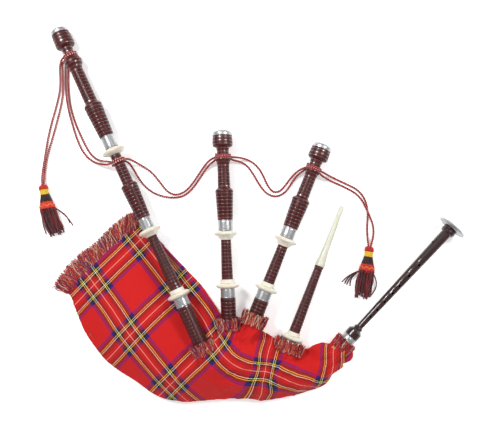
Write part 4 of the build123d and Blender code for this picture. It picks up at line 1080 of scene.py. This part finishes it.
def tassel_pieces(name, head, end, lean, strays, node, body):
    """A tassel of knot, yellow winding, dark skirt, orange band and thick hanging threads."""
    head, end = np.array(head, float), np.array(end, float)
    ahead = (end - head) / np.linalg.norm(end - head)
    beside = np.array((ahead[1], -ahead[0]))

    def spot(distance, turn, fill=1.0, shift=0.0):
        """A point on the tassel's surface, or inside it for a fill below 1."""
        wide = np.interp(distance, TASSEL[:, 0], TASSEL[:, 1])
        high = np.interp(distance, TASSEL[:, 0], TASSEL[:, 2])
        centre = head + ahead * distance + beside * shift
        flat = centre + beside * wide * fill * math.cos(turn)
        return np.array((*flat, high + 0.4 + high * fill * math.sin(turn)))

    def lengthways(count, first, last, radius, fill, loose=0.0):
        made = []
        for place in range(count):
            turn = 2 * math.pi * place / count + chance.uniform(-0.1, 0.1)
            depth = fill * (1 if place % 3 else 0.72)
            stop = last + chance.uniform(-loose, loose * 0.5)
            drift = chance.gauss(0, 0.16) * (loose > 0)
            phase, sway = chance.uniform(0, 6.28), chance.uniform(0.4, 2.2) * (loose > 0)
            path = []
            for distance in np.linspace(first, stop, max(5, int((stop - first) / 5))):
                share = (distance - first) / (stop - first)
                bend = (lean * share**2 if loose else 0.0) + sway * math.sin(share * 7 + phase) * share
                path.append(spot(distance, turn + drift * share, depth, bend))
            made.append((np.array(path), radius * chance.uniform(0.8, 1.15), chance.random()))
        return made

    def wound(first, last, radius, fill=1.0, wave=0.0):
        turns = max(1, round((last - first) / (1.75 * radius)))
        share = np.linspace(0, 1, turns * 28 + 1)
        path = []
        for part in share:
            distance = first + (last - first) * part + wave * math.sin(part * turns * 50)
            path.append(spot(distance, part * turns * FULL_TURN, fill))
        return [(np.array(path), radius, chance.random())]

    knot = lengthways(22, 0.5, 12, 1.7, 0.82) + wound(1, 10, 1.5, 0.93)
    pieces = [
        threads(f"{name}_knot", knot, RED_THREAD),
        threads(f"{name}_yellow_winding", wound(11.5, 23.5, 0.95, 0.97), YELLOW_THREAD),
        threads(f"{name}_skirt", lengthways(46, 22, 44, 1.25, 0.93), DARK_THREAD),
        threads(
            f"{name}_orange_band",
            wound(41, 55.5, 1.05, 0.98) + lengthways(40, 38, 60, 1.1, 0.86),
            ORANGE_THREAD,
        ),
        threads(f"{name}_pale_thread", wound(48, 49, 0.8, 1.05, 2.6), PALE_THREAD),
    ]
    hanging = lengthways(52, 52, 116, 1.45, 0.93, 14) + lengthways(26, 52, 110, 1.5, 0.5, 14)
    for stop, shift, bulge in strays:
        share = np.linspace(0, 1, 18)
        path = []
        for part in share:
            wide = shift * part**0.8 + bulge * math.sin(part * math.pi)
            aside = math.copysign(14, shift or bulge) + wide
            centre = head + ahead * (57 + (stop - 57) * part) + beside * aside
            path.append((*centre, 12 - 10.3 * part**0.6))
        hanging.append((np.array(path), 1.45, chance.random()))
    hanging_piece = threads(f"{name}_hanging_threads", hanging, MAROON_THREAD)
    for piece in (*pieces, hanging_piece):
        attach(piece, body)
        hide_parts(node)
    return pieces


# ------------------------------------------------------------------ the drone cord on its bodies

BASS_TOP_SPOT = (BASS, 607, 11.7)
BASS_MIDDLE_SPOT = (BASS, 338.5, 12.2)
TENOR_1_SPOT = (TENORS["tenor_1"], 301.5, 13.4)
TENOR_2_SPOT = (TENORS["tenor_2"], 301.5, 13.4)
bass_top_wrap = wrap("bass_top_cord_wrap", *BASS_TOP_SPOT, "bass_top")
bass_middle_wrap = wrap("bass_middle_cord_wrap", *BASS_MIDDLE_SPOT, "bass_middle")
tenor_1_wrap = wrap("tenor_1_cord_wrap", *TENOR_1_SPOT, "tenor_1_top", "cord_tenor_1_wrap")
tenor_2_wrap = wrap("tenor_2_cord_wrap", *TENOR_2_SPOT, "tenor_2_top")
# Stray threads: how far along each ends, how far aside, and how much it bulges on the way.
STRAYS_1 = [(106, -32, -3), (98, -26, -5), (112, 5, 3)]
STRAYS_2 = [(90, 38, 3), (93, 31, 5), (95, 26, 4), (97, 18, 6), (108, 4, 3), (116, -3, -12), (110, 2, -14)]
tassel_1 = tassel_pieces("tassel_1", (-494.5, 68), (-468, -53), -7, STRAYS_1, "tassel_1", "bass_top")
tassel_2 = tassel_pieces("tassel_2", (262, -75), (247, -190), 1, STRAYS_2, "tassel_2", "tenor_2_top")

for number, points in enumerate(TASSEL_1_STRANDS):
    path = route(reaching(points, *BASS_TOP_SPOT, False))
    strand = braided(f"tassel_1_strand_{number + 1}", path, 3 * number)
    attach(strand, "bass_top")
    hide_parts("cord_tassel_1_span")
    declare(path, () if number else [bass_top_wrap, *tassel_1])
for number, points in enumerate(BASS_STRANDS):
    path = route(reaching(reaching(points, *BASS_TOP_SPOT, False), *BASS_MIDDLE_SPOT, True))
    strand = braided(f"bass_strand_{number + 1}", path, 3 * number)
    path[0] * MM
    path[-1] * MM
    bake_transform(strand)
    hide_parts("cord_bass_span")
    declare(path, () if number else [bass_middle_wrap])
for label, strand_routes, spots, first_body, second_body, node, pieces in (
    (
        "bass_tenor",
        BASS_TENOR_STRANDS,
        (BASS_MIDDLE_SPOT, TENOR_1_SPOT),
        "bass_middle",
        "tenor_1_top",
        "cord_bass_tenor_span",
        [tenor_1_wrap],
    ),
    (
        "tenors",
        TENOR_STRANDS,
        (TENOR_1_SPOT, TENOR_2_SPOT),
        "tenor_1_top",
        "tenor_2_top",
        "cord_tenors_span",
        [tenor_2_wrap],
    ),
):
    for number, points in enumerate(strand_routes):
        path = route(reaching(reaching(points, *spots[0], False), *spots[1], True))
        half = len(path) // 2
        halves = ((path[: half + 1], (first_body, "root")), (path[half:], ("root", second_body)))
        for side, (part, bodies) in enumerate(halves):
            strand = braided(f"{label}_strand_{number + 1}_{side + 1}", part, side * 1.3 * half)
            part[0] * MM
            part[-1] * MM
            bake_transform(strand)
            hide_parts(node)
            declare(part, pieces if side == 1 and number == 0 else ())
for number, points in enumerate(TASSEL_2_STRANDS):
    path = route(reaching(points, *TENOR_2_SPOT, False))
    strand = braided(f"tassel_2_strand_{number + 1}", path, 3 * number)
    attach(strand, "tenor_2_top")
    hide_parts("cord_tassel_2_span")
    declare(path, () if number else tassel_2)

# ------------------------------------------------------------------ camera, light and ground

camera_data = bpy.data.cameras.new("overhead")
camera_data.lens, camera_data.sensor_width = 46.17, 36
camera = bpy.data.objects.new("overhead", camera_data)
camera.location = (-0.0125, -0.0015, 1.5)
bpy.context.scene.collection.objects.link(camera)
bpy.context.scene.camera = camera

GROUND = 30  # half its width, m
ground_mesh = bpy.data.meshes.new("ground")
corners = [(-GROUND, -GROUND, 0), (GROUND, -GROUND, 0), (GROUND, GROUND, 0), (-GROUND, GROUND, 0)]
ground_mesh.from_pydata(corners, [], [(0, 1, 2, 3)])
ground = bpy.data.objects.new("ground", ground_mesh)
ground_tree = Tree("ground_paper")
ground_tree.set(Base__Color=srgb(248, 248, 248), Roughness=0.9)
ground_tree.set(Emission__Color=(1.0, 1.0, 1.0, 1.0), Emission__Strength=0.35)
ground_mesh.materials.append(ground_tree.material)
bpy.context.scene.collection.objects.link(ground)


def softbox(name, place, aim, size, power):
    """A square area light."""
    data = bpy.data.lights.new(name, "AREA")
    data.size, data.energy = size, power
    light = bpy.data.objects.new(name, data)
    light.location = place
    light.rotation_euler = (Vector(aim) - Vector(place)).to_track_quat("-Z", "Y").to_euler()
    bpy.context.scene.collection.objects.link(light)


softbox("key", (-1.0, 0.9, 1.7), (0, 0, 0), 0.4, 30)
softbox("side", (1.25, 0.5, 1.6), (0, 0, 0), 0.4, 18)
softbox("rim", (0.1, -1.6, 1.1), (0, 0, 0), 1.0, 4)
world = bpy.data.worlds.new("studio")
world.use_nodes = True
world.node_tree.nodes["Background"].inputs[0].default_value = (1, 1, 1, 1)
world.node_tree.nodes["Background"].inputs[1].default_value = 0.42
bpy.context.scene.world = world
bpy.context.scene.view_settings.view_transform = "Standard"
